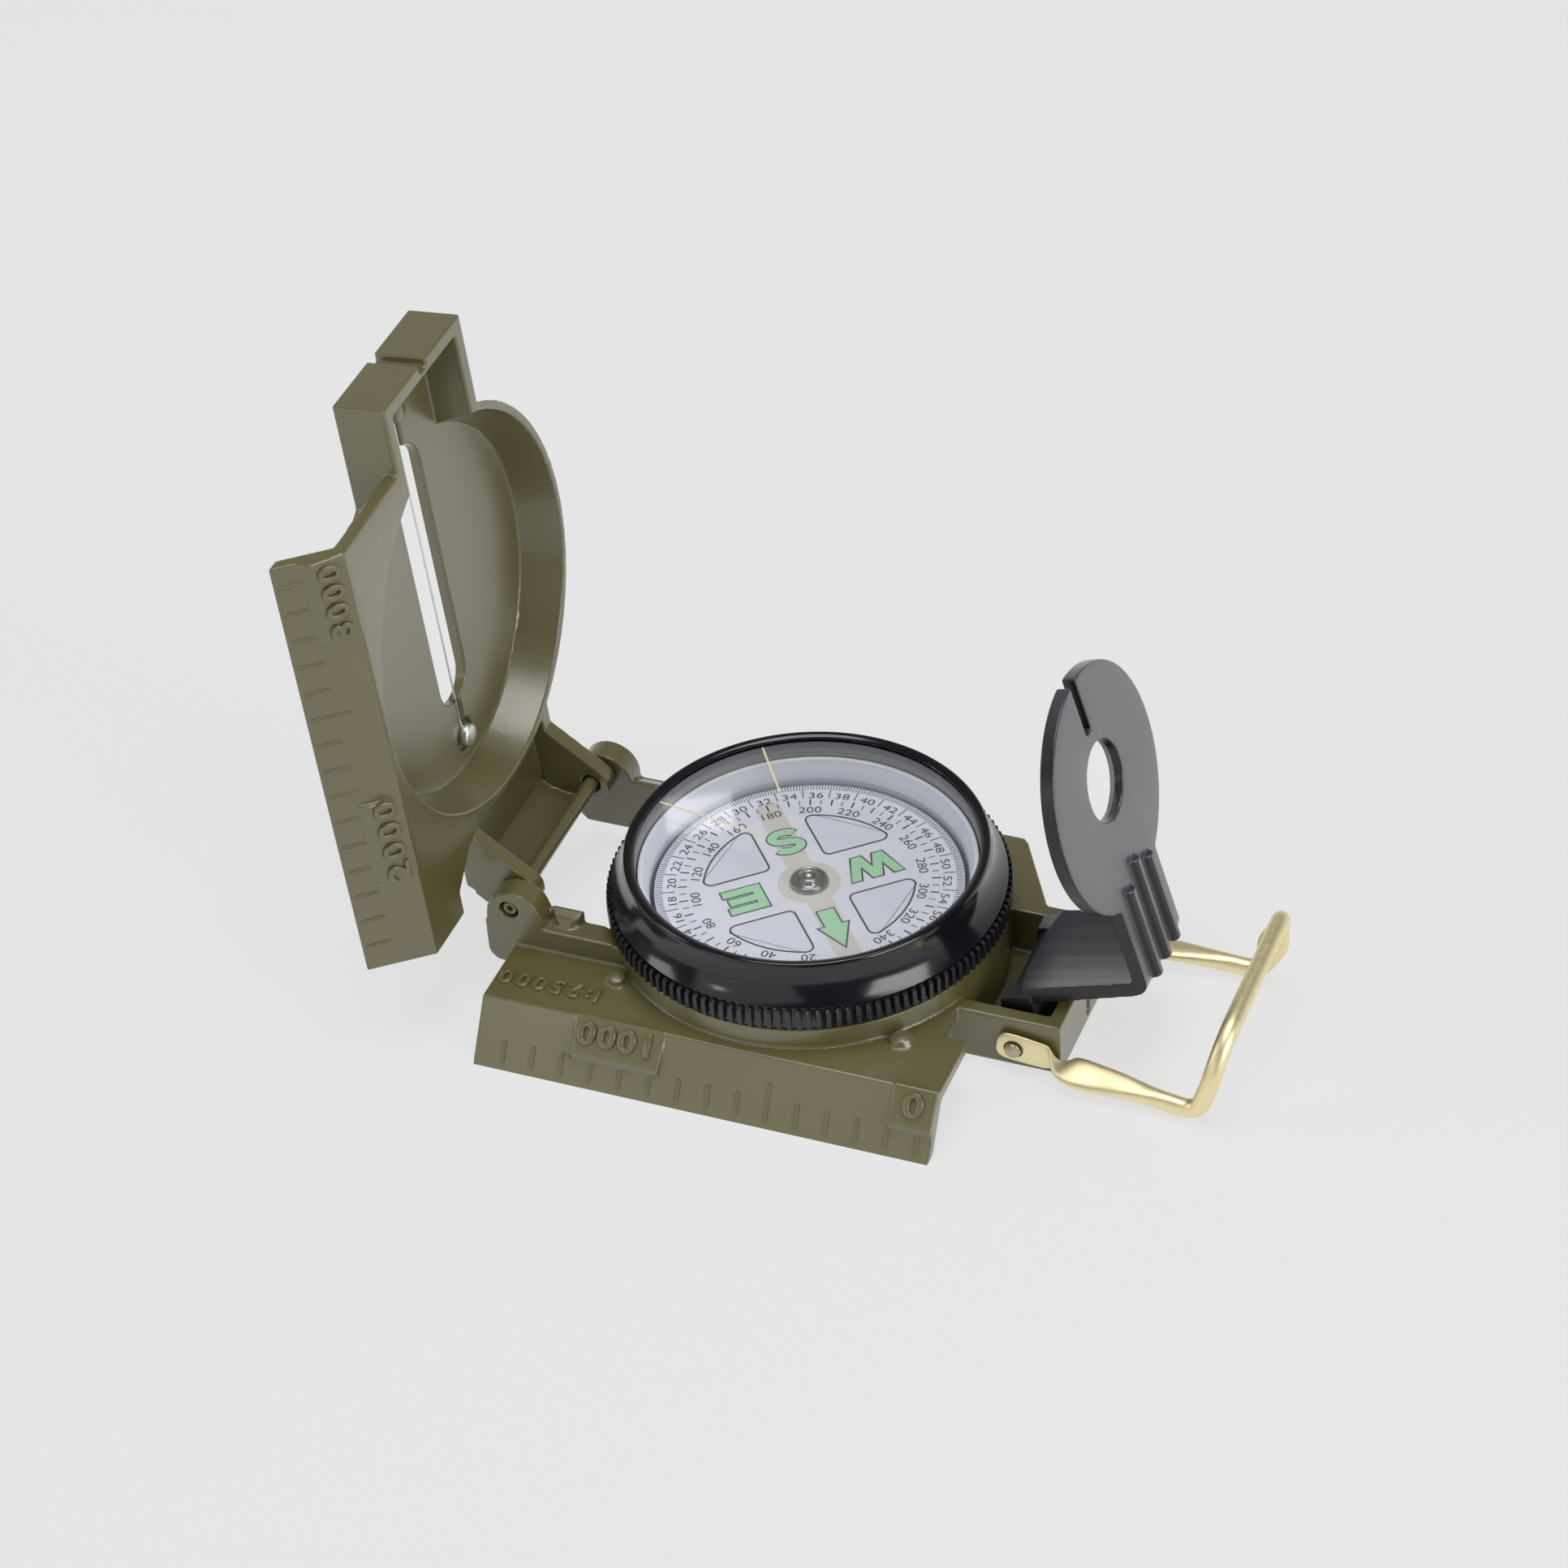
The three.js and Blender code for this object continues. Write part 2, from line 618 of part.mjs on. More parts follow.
function lidShell() {
  const plateHigh = LID_FACE_UP + PLATE_THICK;
  const dish = turned([
    [0, LID_FACE_UP],
    [lidRimR, LID_FACE_UP],
    [lidRimR - LID_CONE, lidTop],
    [0, lidTop],
  ]).translate([lidCentre, 0, 0]);
  const box = block([lidCentre, lidEnd], [-BOX_HALF, BOX_HALF], [LID_FACE_UP, lidTop]);
  const rulerEnd = LID_RULER_START + LID_RULER_LENGTH;
  const plate = prismZ([
    [LID_RULER_START, rulerTopY],
    [rulerEnd, rulerTopY],
    [rulerEnd + LID_EDGE_SKEW, -boxInHalf],
    [lidCentre, 0],
    [LUG_REACH, -lugOut],
    [ARM_TAIL, -armOut - EAR_CUT_GAP],
    [LID_RULER_START, -armOut - EAR_CUT_GAP],
  ], LID_FACE_UP, plateHigh);
  const rulerLow = LID_FACE_UP + LID_RULER_UP;
  const rulerHigh = rulerLow + PLATE_TOP;
  const lean = RULER_LEAN / PLATE_TOP;
  const ruler = prismX([
    [rulerTopY, rulerLow],
    [rulerFootY, rulerHigh],
    [rulerFootY + rulerFoot, rulerHigh],
    [rulerFootY + rulerFoot + lean * (rulerHigh - plateHigh), plateHigh],
    [rulerTopY + RULER_LEAN, plateHigh],
    [rulerTopY + RULER_LEAN, LID_FACE_UP],
    [rulerTopY + lean * LID_RULER_UP, LID_FACE_UP],
  ], LID_RULER_START, rulerEnd);
  const lugRoot = LID_FACE_UP + LUG_ROOT;
  const lug = [
    ...arc(0, 0, KNUCKLE_R, 180, 315, 10),
    [LUG_REACH, LID_FACE_UP],
    [lidCentre - lidMouthR / 2, LID_FACE_UP],
    [lidCentre - lidMouthR / 2, lugRoot],
    [LUG_THICK, lugRoot],
    [-KNUCKLE_R / 2, (LID_FACE_UP + lugRoot) / 2 + FIT],
    [-KNUCKLE_R, LID_FACE_UP],
  ];
  const lugs = bothSides((side) => prismY(lug, ...span(side, lugIn, lugOut)));
  const trough = prismY([
    [-KNUCKLE_R - TROUGH_WALL / 2, TROUGH_TOP],
    [-KNUCKLE_R + TROUGH_WALL / 2, TROUGH_TOP],
    [-TROUGH_WALL, LID_FACE_UP + TROUGH_WALL / 2],
    [-TROUGH_WALL / 4, lugRoot],
    [lidCentre - lidMouthR / 2, lugRoot],
    [lidCentre - lidMouthR / 2, lugRoot + TROUGH_WALL],
    [-TROUGH_WALL, lugRoot + TROUGH_WALL],
    [-KNUCKLE_R, LID_FACE_UP + TROUGH_WALL],
  ], -lugIn - LUG_THICK / 2, lugIn + LUG_THICK / 2);
  const shell = joined([dish, box, plate, ruler, ...lugs, trough]);

  const hollow = turned([
    [0, LID_FACE_UP - LID_DEPTH],
    [lidMouthR, LID_FACE_UP - LID_DEPTH],
    [lidMouthR, LID_FACE_UP],
    [lidMouthR - LID_CONE, lidFloorIn],
    [0, lidFloorIn],
  ]).translate([lidCentre, 0, 0]);
  const boxRoom = block(
    [lidCentre, lidEnd - LID_END_WALL],
    [-boxInHalf, boxInHalf],
    [LID_FACE_UP - FIT, lidFloorIn],
  );
  const slot = prismZ([
    ...arc(slotStart + SLOT_HALF, 0, SLOT_HALF, 90, 270, 12),
    ...arc(slotEnd - SLOT_HALF, 0, SLOT_HALF, -90, 90, 12),
  ], lidFloorIn - FIT, lidTop + FIT);
  const pegRooms = [lowPegX, highPegX].map((x) => (
    rodZ(x, 0, WIRE_HOLE_R, lidFloorIn - FIT, lidFloorIn + WIRE_HOLE_DEPTH)
  ));
  const groove = block(
    [lowPegX, highPegX],
    [-WIRE_GROOVE / 2, WIRE_GROOVE / 2],
    [lidFloorIn - FIT, wireUp + WIRE_R + FIT],
  );
  const endNotch = block(
    [lidEnd - LID_NOTCH_DEPTH, lidEnd + FIT],
    [-LID_NOTCH / 2, LID_NOTCH / 2],
    [LID_FACE_UP - FIT, lidTop + FIT],
  );
  return cut(shell, [
    hollow,
    boxRoom,
    slot,
    ...pegRooms,
    groove,
    endNotch,
    rodY(0, 0, HINGE_PIN_R + FIT, -lugOut - FIT, lugOut + FIT),
  ]);
}

function wirePeg(x) {
  return rodZ(x, 0, WIRE_PEG_R, wirePegLow - WIRE_PEG_HEIGHT, wirePegLow);
}

// Lens bracket in its own frame: origin on the lens pin, x along the arm, z up the disc
function lensBracket() {
  const neckTop = discUp - DISC_R / 2;
  const armSide = prismY([
    [-BRACKET_TAIL, armOverPin],
    ...arc(discOut - BRACKET_CORNER, armOverPin + BRACKET_CORNER, BRACKET_CORNER, 270, 360, 5),
    [discOut, armOverPinTop],
    [BRACKET_BEVEL - BRACKET_TAIL, armOverPinTop],
  ], -bracketHalf, bracketHalf);
  const armPlan = prismZ([
    [-BRACKET_TAIL, -bracketHalf],
    [discOut, -NECK_HALF],
    [discOut, NECK_HALF],
    [-BRACKET_TAIL, bracketHalf],
  ], armOverPin, armOverPinTop);
  const arm = armSide.intersect(armPlan);
  const bezelRoom = rodX(0, lensPinX, flangeR + BRACKET_DRUM_GAP, -LENS_PIN_OUT, discIn, ROUND);
  const disc = rodX(0, discUp, DISC_R, discIn, discOut, ROUND);
  const neck = block([discIn, discOut], [-NECK_HALF, NECK_HALF], [armOverPin + BRACKET_CORNER, neckTop]);
  const ribs = [-1, 0, 1].map((place) => {
    const low = armOverPin + RIB_FOOT;
    const high = armOverPin + RIB_HEIGHT + (place === 0 ? RIB_STEP : 0);
    return discZ(RIB_R, low, high, WIRE_ROUND).translate([discOut, place * RIB_PITCH, 0]);
  });
  const cheek = [
    ...arc(0, 0, barrelR, 180, 360, 14),
    [barrelR, armOverPin + BRACKET_ARM / 2],
    [-BRACKET_TAIL, armOverPin + BRACKET_ARM / 2],
    [-barrelR, armOverPin - BRACKET_TAIL],
  ];
  const cheeks = bothSides((side) => (
    prismY(cheek, ...span(side, bracketHalf - BRACKET_CHEEK, bracketHalf))
  ));
  const sight = block(
    [discIn - FIT, discOut + FIT],
    [-SIGHT_WIDTH / 2, SIGHT_WIDTH / 2],
    [discUp + DISC_R - SIGHT_DEPTH, discUp + DISC_R + FIT],
  );
  return cut(joined([arm.subtract(bezelRoom), disc, neck, ...ribs, ...cheeks]), [
    rodX(0, lensUp, LENS_HOLE_R, discIn - FIT, discOut + RIB_R + FIT, SMALL_ROUND * 2),
    sight,
    rodY(0, 0, LENS_PIN_R + FIT, -bracketHalf - FIT, bracketHalf + FIT),
  ]);
}

function lensGlass() {
  const radius = LENS_HOLE_R - FIT;
  const bulge = (LENS_THICK - LENS_EDGE) / 2;
  const face = [0, 0.35, 0.7, 1].map((share) => [radius * share, LENS_EDGE / 2 + bulge * (1 - share ** 2)]);
  const lower = face.map(([r, z]) => [r, -z]);
  const upper = face.slice().reverse();
  return turned([...lower, ...upper], SMALL_ROUND * 2);
}

function lensPin() {
  const shank = rodY(lensPinX, LENS_PIN_UP, LENS_PIN_R, -rivetOut, rivetOut);
  const heads = bothSides((side) => (
    rodY(lensPinX, LENS_PIN_UP, RIVET_R, ...span(side, rivetIn, rivetOut))
  ));
  return joined([shank, ...heads]);
}

// Thumb loop in its own frame: origin on the lens pin, x along the legs, z up
function thumbLoop() {
  const bend = radians(LOOP_BEND);
  const topX = LOOP_LEG + LOOP_RISE * Math.cos(bend);
  const topZ = LOOP_RISE * Math.sin(bend);
  const legIn = tabIn + LOOP_WIRE_R;
  const at = (x, y, z) => new THREE.Vector3(x, y, z);
  const half = (side) => {
    const start = at(LOOP_TAB_LENGTH - LOOP_WIRE_R, side * legIn, 0);
    const corner = at(LOOP_LEG, side * LOOP_SPREAD, 0);
    const top = at(topX, side * LOOP_SPREAD, topZ);
    const into = corner.clone().lerp(start, LOOP_CORNER / corner.distanceTo(start));
    const outOf = corner.clone().lerp(top, LOOP_CORNER / corner.distanceTo(top));
    const underBar = top.clone().lerp(corner, LOOP_BAR_CORNER / corner.distanceTo(top));
    const onBar = at(topX, side * (LOOP_SPREAD - LOOP_BAR_CORNER), topZ);
    return { start, corner, top, into, outOf, underBar, onBar };
  };
  const near = half(-1);
  const far = half(1);
  const path = new THREE.CurvePath();
  path.add(new THREE.LineCurve3(near.start, near.into));
  path.add(new THREE.QuadraticBezierCurve3(near.into, near.corner, near.outOf));
  path.add(new THREE.LineCurve3(near.outOf, near.underBar));
  path.add(new THREE.QuadraticBezierCurve3(near.underBar, near.top, near.onBar));
  path.add(new THREE.LineCurve3(near.onBar, far.onBar));
  path.add(new THREE.QuadraticBezierCurve3(far.onBar, far.top, far.underBar));
  path.add(new THREE.LineCurve3(far.underBar, far.outOf));
  path.add(new THREE.QuadraticBezierCurve3(far.outOf, far.corner, far.into));
  path.add(new THREE.LineCurve3(far.into, far.start));
  const section = new THREE.Shape();
  section.absarc(0, 0, LOOP_WIRE_R, 0, 2 * Math.PI);
  const wire = solid(new THREE.ExtrudeGeometry(section, {
    extrudePath: path,
    steps: LOOP_STEPS,
    curveSegments: WIRE_ROUND / 2,
  }));
  const tab = [
    ...arc(0, 0, LOOP_TAB_R, 90, 270, 12),
    [LOOP_TAB_LENGTH, -LOOP_WIRE_R],
    [LOOP_TAB_LENGTH, LOOP_WIRE_R],
  ];
  const tabs = bothSides((side) => prismY(tab, ...span(side, tabIn, tabOut)));
  const holes = rodY(0, 0, LENS_PIN_R + FIT, -tabOut - FIT, tabOut + FIT);
  return joined([wire, ...tabs]).subtract(holes);
}

// Materials
const olivePaint = paint(0x58522f, 0.5, 0.1);
const blackPlastic = paint(0x24242a, 0.35, 0.0);
const greyPlastic = paint(0x55565c, 0.5, 0.0);
const whitePlastic = paint(0xe6e8ec, 0.5, 0.0);
const clearPlastic = paint(0xdfe6ec, 0.1, 0.0);
const brass = paint(0xc8a850, 0.3, 1.0);
const steel = paint(0xb8b8b8, 0.3, 1.0);
const magnetSteel = paint(0xa8a49c, 0.4, 1.0);

// Assembly
const compass = new THREE.Group();
compass.name = 'compass';

compass.add(piece('base_body', baseBody(), olivePaint.clone()));
compass.add(piece('bottom_cover', bottomCover(), olivePaint.clone()));
screwPlaces().forEach(([x, y], i) => {
  const screw = piece(`base_screw_${i + 1}`, baseScrew(), steel.clone());
  screw.position.set(x, y, 0);
  compass.add(screw);
});
compass.add(piece('hinge_pin', rodY(
  hingeX, HINGE_UP, HINGE_PIN_R, -armOut + HINGE_PIN_SUNK, armOut - HINGE_PIN_SUNK,
), olivePaint.clone()));
compass.add(piece('lens_pin', lensPin(), brass.clone()));
compass.add(piece('capsule_bowl', capsuleBowl(), whitePlastic.clone()));
compass.add(piece('capsule_window', discZ(capsuleR, windowLow, windowTop), clearPlastic.clone()));
compass.add(piece('pivot_post', pivotPost(), steel.clone()));
compass.add(piece('snap_ring', snapRing(), steel.clone()));
compass.add(piece('bezel_ring', bezelRing(), blackPlastic.clone()));
compass.add(piece('bezel_glass', discZ(glassR, glassLow, glassTop), clearPlastic.clone()));

const card = new THREE.Group();
card.name = 'card';
card.rotation.z = radians(CARD_NORTH);
card.add(piece('card_disc', ringZ(CAP_R + FIT, cardR, cardLow, cardTop), whitePlastic.clone()));
card.add(piece('magnet_bar', magnetBar(), magnetSteel.clone()));
card.add(piece('jewel_cap', jewelCap(), steel.clone()));
compass.add(card);

const lid = new THREE.Group();
lid.name = 'lid';
lid.position.set(hingeX, 0, HINGE_UP);
lid.rotation.y = -radians(LID_ANGLE);
lid.add(piece('lid_shell', lidShell(), olivePaint.clone()));
lid.add(piece('sighting_wire', rodX(
  0, wireUp, WIRE_R, lowPegX + WIRE_PEG_R + FIT, highPegX - WIRE_PEG_R - FIT, WIRE_ROUND,
), steel.clone()));
lid.add(piece('wire_peg_lower', wirePeg(lowPegX), steel.clone()));
lid.add(piece('wire_peg_upper', wirePeg(highPegX), steel.clone()));
compass.add(lid);

const bracket = new THREE.Group();
bracket.name = 'bracket';
bracket.position.set(lensPinX, 0, LENS_PIN_UP);
bracket.rotation.y = -radians(BRACKET_ANGLE);
bracket.add(piece('lens_bracket', lensBracket(), greyPlastic.clone()));
const lens = piece('lens', lensGlass(), clearPlastic.clone());
lens.position.set((discIn + discOut) / 2, 0, lensUp);
lens.rotation.y = Math.PI / 2;
bracket.add(lens);
compass.add(bracket);

const loop = new THREE.Group();
loop.name = 'loop';
loop.position.set(lensPinX, 0, LENS_PIN_UP);
loop.rotation.y = radians(LOOP_ANGLE);
loop.add(piece('thumb_loop', thumbLoop(), brass.clone()));
compass.add(loop);

export default compass;
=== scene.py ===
"""Visual model of a folding pocket compass, built around its packed solids.

Sizes in the code are millimetres in the solids' frame; a piece is scaled to metres when it is finished.
Lamps and the floor are in metres.
"""
import math

import bmesh
import bpy
import numpy as np
from bpy.props import FloatProperty, FloatVectorProperty, IntProperty, PointerProperty
from mathutils import Matrix, Vector


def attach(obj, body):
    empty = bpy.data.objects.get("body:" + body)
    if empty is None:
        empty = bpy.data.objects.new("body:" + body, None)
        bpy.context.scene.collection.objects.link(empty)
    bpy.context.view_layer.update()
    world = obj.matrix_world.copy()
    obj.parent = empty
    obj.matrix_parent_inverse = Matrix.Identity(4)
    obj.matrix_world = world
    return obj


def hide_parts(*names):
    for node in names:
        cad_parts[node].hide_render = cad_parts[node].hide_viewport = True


bl_info = {
    "name": "Folding Compass",
    "version": (1, 0, 0),
    "blender": (4, 5, 0),
    "location": "View3D > Sidebar > Compass",
    "description": "Dresses the compass solids with castings, dial print, glass and brass",
    "category": "Object",
}

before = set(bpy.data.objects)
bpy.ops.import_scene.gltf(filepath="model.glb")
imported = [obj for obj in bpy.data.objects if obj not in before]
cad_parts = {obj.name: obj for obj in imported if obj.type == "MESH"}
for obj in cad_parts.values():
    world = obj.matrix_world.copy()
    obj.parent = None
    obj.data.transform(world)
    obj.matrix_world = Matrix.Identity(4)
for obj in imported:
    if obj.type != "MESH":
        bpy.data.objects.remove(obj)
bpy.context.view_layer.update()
MM = 0.001
TO_METRES = Matrix.Scale(MM, 4)
TO_MILLIMETRES = Matrix.Scale(1 / MM, 4)
QUARTER = math.pi / 2
WHITE = (1, 1, 1, 1)


def moved(x=0.0, y=0.0, z=0.0):
    """The matrix of a shift."""
    return Matrix.Translation((x, y, z))


def spun(angle, axis):
    """The matrix of a turn about an axis."""
    return Matrix.Rotation(angle, 4, axis)


def framed(origin, along, up, out):
    """The matrix of a place with its own three directions."""
    return Matrix.Translation(origin) @ Matrix((along, up, out)).transposed().to_4x4()


def axes(origin, right, up):
    """The matrix of a flat place with its own right and up directions."""
    return framed(origin, right, up, right.cross(up))


# Places shared by several pieces, as in the solids
LID_HINGE = Vector((-35.05, 0, 13.15))
LID_OPEN = math.radians(95)
LENS_PIN = Vector((31.65, 0, 3.7))
BRACKET_LEAN = math.radians(15.7)
LOOP_DROP = math.radians(6.2)
CARD_TOP = 13.3
GLASS_TOP = 18.85

LID_FRAME = moved(*LID_HINGE) @ spun(-LID_OPEN, "Y")
BRACKET_FRAME = moved(*LENS_PIN) @ spun(-BRACKET_LEAN, "Y")
LOOP_FRAME = moved(*LENS_PIN) @ spun(LOOP_DROP, "Y")
ACROSS = axes((0, 0, 0), Vector((0, 1, 0)), Vector((0, 0, 1)))


def linear(code):
    """A colour written as sRGB hex, in the linear values that sockets take."""
    shares = [int(code[i:i + 2], 16) / 255 for i in (1, 3, 5)]
    return [*(s / 12.92 if s <= 0.04045 else ((s + 0.055) / 1.055) ** 2.4 for s in shares), 1.0]


def colour(name, code, description):
    """A colour property with its default written as hex."""
    return FloatVectorProperty(
        name=name, description=description, subtype="COLOR", size=4, min=0, max=1, default=linear(code))


def length(name, default, description):
    """A length property in millimetres."""
    return FloatProperty(name=f"{name} (mm)", description=description, default=default, min=0)


class CastingSettings(bpy.types.PropertyGroup):
    """Painted castings: base and lid."""
    enamel: colour("Enamel", "#5c5630", "Olive enamel over the casting")
    skin: length("Skin step", 0.22, "Grid step of the cast skin, which sets how round its edges get")
    relief: length("Figure relief", 0.46, "How far the cast figures stand out")
    ridge: length("Tick ridge", 0.27, "Half width of the cast ruler ticks")


class BezelSettings(bpy.types.PropertyGroup):
    """Turning bezel."""
    plastic: colour("Plastic", "#111117", "Glossy moulded black")
    teeth: IntProperty(name="Knurl teeth", description="Teeth round the flange", default=130, min=3)
    tooth: length("Tooth depth", 1.0, "Radial depth of a tooth, part of it sunk in the flange")


class CardSettings(bpy.types.PropertyGroup):
    """Floating dial card."""
    board: colour("Card", "#e6e9f4", "Card between its printed marks")
    ink: colour("Ink", "#55565e", "Printed figures and ticks")
    glow: colour("Luminous green", "#b0dfb8", "Luminous letters and arrow")
    strip: colour("Strip", "#d9d6d0", "Magnet strip seen through the bare part of the card")
    north: FloatProperty(
        name="North", description="Where north points at rest", subtype="ANGLE", default=math.radians(-49.4))


class BracketSettings(bpy.types.PropertyGroup):
    """Lens bracket."""
    nylon: colour("Nylon", "#2e2f37", "Black moulded nylon")
    skin: length("Skin step", 0.2, "Grid step of the moulded skin, which sets how round its edges get")


class LoopSettings(bpy.types.PropertyGroup):
    """Thumb loop."""
    brass: colour("Brass", "#f1e4b8", "Rolled yellow brass")
    blade: length("Blade half width", 2.3, "Half width of the flattened part of each leg")


class StageSettings(bpy.types.PropertyGroup):
    """Floor, lamps and camera."""
    floor: colour("Floor", "#e5e5e5", "Pale floor and backdrop")
    key: FloatProperty(
        name="Key lamp", description="Power of the lamp overhead", unit="POWER", default=4.2, min=0)
    fill: FloatProperty(name="Fill", description="Strength of the light from all round", default=0.2, min=0)


# Small tools for nodes

def add(tree, kind, inputs=None, **settings):
    """A new node with its settings, its input values and its links."""
    node = tree.nodes.new(kind)
    for name, value in settings.items():
        setattr(node, name, value)
    for name, value in (inputs or {}).items():
        if isinstance(value, bpy.types.NodeSocket):
            tree.links.new(value, node.inputs[name])
        else:
            node.inputs[name].default_value = value
    return node


def sum_of(tree, operation, first, second=0.0):
    """The result of a sum with one or two values."""
    return add(tree, "ShaderNodeMath", {0: first, 1: second}, operation=operation).outputs[0]


def ramp(tree, value, low, high, start=0.0, end=1.0):
    """A value that runs from low to high while another runs from start to end."""
    return add(tree, "ShaderNodeMapRange", {
        "Value": value, "From Min": start, "From Max": end, "To Min": low, "To Max": high}).outputs[0]


def blend(tree, share, low, high):
    """A colour that runs from low to high with a share."""
    return add(tree, "ShaderNodeMix", {"Factor": share, 6: low, 7: high}, data_type="RGBA").outputs[2]


def mixed(tree, share, first, second):
    """Two shaders mixed by a share."""
    return add(tree, "ShaderNodeMixShader", {0: share, 1: first.outputs[0], 2: second.outputs[0]}).outputs[0]


def own_place(tree):
    """The coordinates of a piece, which ride with it."""
    return add(tree, "ShaderNodeTexCoord").outputs["Object"]


def noise(tree, scale, detail):
    """Noise in a piece's own coordinates."""
    return add(tree, "ShaderNodeTexNoise", {
        "Vector": own_place(tree), "Scale": scale, "Detail": detail}).outputs["Fac"]


def new_material(name):
    """A material with its node tree and its shader."""
    material = bpy.data.materials.new(name)
    material.use_nodes = True
    tree = material.node_tree
    return material, tree, tree.nodes["Principled BSDF"]


# Small tools for meshes

WELD = 1e-4

# Steps round a turned piece, by its size
WIRE_TURN = 16
SMALL_TURN = 48
MIDDLE_TURN = 96
PANE_TURN = 128
LARGE_TURN = 192
BEZEL_TURN = 240


def linked(name, data):
    """A new object in the scene."""
    item = bpy.data.objects.new(name, data)
    bpy.context.scene.collection.objects.link(item)
    return item


def cleaned(mesh):
    """The mesh with doubles merged and faces turned outwards."""
    work = bmesh.new()
    work.from_mesh(mesh)
    bmesh.ops.remove_doubles(work, verts=work.verts, dist=WELD)
    bmesh.ops.recalc_face_normals(work, faces=work.faces)
    work.to_mesh(mesh)
    work.free()
    return mesh


def mesh_of(points, faces):
    """A clean mesh from points and faces."""
    mesh = bpy.data.meshes.new("draft")
    mesh.from_pydata([tuple(p) for p in points], [], faces)
    return cleaned(mesh)


def placed(mesh, place):
    """The mesh moved to its place."""
    mesh.transform(place)
    return mesh


def joined(meshes):
    """Several meshes as one."""
    work = bmesh.new()
    for mesh in meshes:
        work.from_mesh(mesh)
        bpy.data.meshes.remove(mesh)
    whole = bpy.data.meshes.new("draft")
    work.to_mesh(whole)
    work.free()
    return whole


def baked(draft):
    """A plain mesh from a draft object, which is then removed."""
    graph = bpy.context.evaluated_depsgraph_get()
    result = bpy.data.meshes.new_from_object(draft.evaluated_get(graph))
    bpy.data.objects.remove(draft)
    return result


def evaluated(mesh, *modifiers):
    """The mesh after a list of (kind, settings) modifiers."""
    draft = linked("draft", mesh)
    for kind, settings in modifiers:
        modifier = draft.modifiers.new(kind.title(), kind)
        for name, value in settings.items():
            setattr(modifier, name, value)
    result = baked(draft)
    bpy.data.meshes.remove(mesh)
    return result


def trimmed(mesh, tool):
    """The mesh with a closed tool mesh cut away from it."""
    cutter = linked("cutter", tool)
    result = evaluated(mesh, ("BOOLEAN", {"operation": "DIFFERENCE", "object": cutter}))
    bpy.data.objects.remove(cutter)
    bpy.data.meshes.remove(tool)
    return result


def lofted(rows, looped=False):
    """A skin through rings of points: capped at both ends, or looped from the last ring to the first."""
    count = len(rows[0])
    points = [point for row in rows for point in row]
    faces = [] if looped else [range(count), range(len(points) - count, len(points))]
    for i in range(len(rows) if looped else len(rows) - 1):
        first, last = i * count, (i + 1) % len(rows) * count
        for k in range(count):
            j = (k + 1) % count
            faces.append((first + k, first + j, last + j, last + k))
    return mesh_of(points, faces)


def turned(profile, steps=LARGE_TURN):
    """A profile of (radius, height) turned about Z; it closes on itself unless it starts on the axis."""
    points, rows, faces = [], [], []
    for radius, height in profile:
        count = steps if radius > 0 else 1
        rows.append([len(points) + i for i in range(count)])
        for i in range(count):
            angle = 2 * math.pi * i / steps
            points.append((radius * math.cos(angle), radius * math.sin(angle), height))
    ends = rows[1:] + ([rows[0]] if profile[0][0] > 0 else [])
    for low, high in zip(rows, ends):
        for i in range(steps):
            j = (i + 1) % steps
            corners = [low[i % len(low)], low[j % len(low)], high[j % len(high)], high[i % len(high)]]
            faces.append(list(dict.fromkeys(corners)))
    return mesh_of(points, faces)


def rounded(corners, steps=5):
    """An outline from corners of (x, y, radius), with each corner turned by its radius."""
    outline = []
    for i, (x, y, radius) in enumerate(corners):
        if radius == 0:
            outline.append((x, y))
            continue
        corner = Vector((x, y))
        back = (Vector(corners[i - 1][:2]) - corner).normalized()
        ahead = (Vector(corners[(i + 1) % len(corners)][:2]) - corner).normalized()
        half = back.angle(ahead) / 2
        reach = radius / math.tan(half)
        centre = corner + (back + ahead).normalized() * (radius / math.sin(half))
        start = corner + back * reach - centre
        turn = start.angle_signed(corner + ahead * reach - centre)
        for k in range(steps + 1):
            angle = math.atan2(start.y, start.x) - turn * k / steps
            outline.append((centre.x + radius * math.cos(angle), centre.y + radius * math.sin(angle)))
    return outline


def slab(outline, low, high):
    """A flat plate from an outline in X and Y."""
    return lofted([[(x, y, z) for x, y in outline] for z in (low, high)])


def border(outline, width, low, high):
    """A flat band of even width along the inside of an outline that runs anticlockwise."""
    inner = []
    for i, (x, y) in enumerate(outline):
        run = (Vector(outline[(i + 1) % len(outline)]) - Vector(outline[i - 1])).normalized()
        inner.append((x - run.y * width, y + run.x * width))
    rings = [(outline, low), (outline, high), (inner, high), (inner, low)]
    return lofted([[(x, y, z) for x, y in ring] for ring, z in rings], looped=True)


def rod(axis_start, axis_end, radius, edge, steps=SMALL_TURN):
    """A round rod with its two ends eased by an edge radius."""
    start, end = Vector(axis_start), Vector(axis_end)
    reach = (end - start).length
    angles = [math.radians(22.5 * k) for k in range(5)]
    foot = [(radius - edge + edge * math.sin(a), edge - edge * math.cos(a)) for a in angles]
    head = [(r, reach - z) for r, z in reversed(foot)]
    mesh = turned([(0, 0), *foot, *head, (0, reach)], steps)
    return placed(mesh, moved(*start) @ (end - start).to_track_quat("Z", "Y").to_matrix().to_4x4())


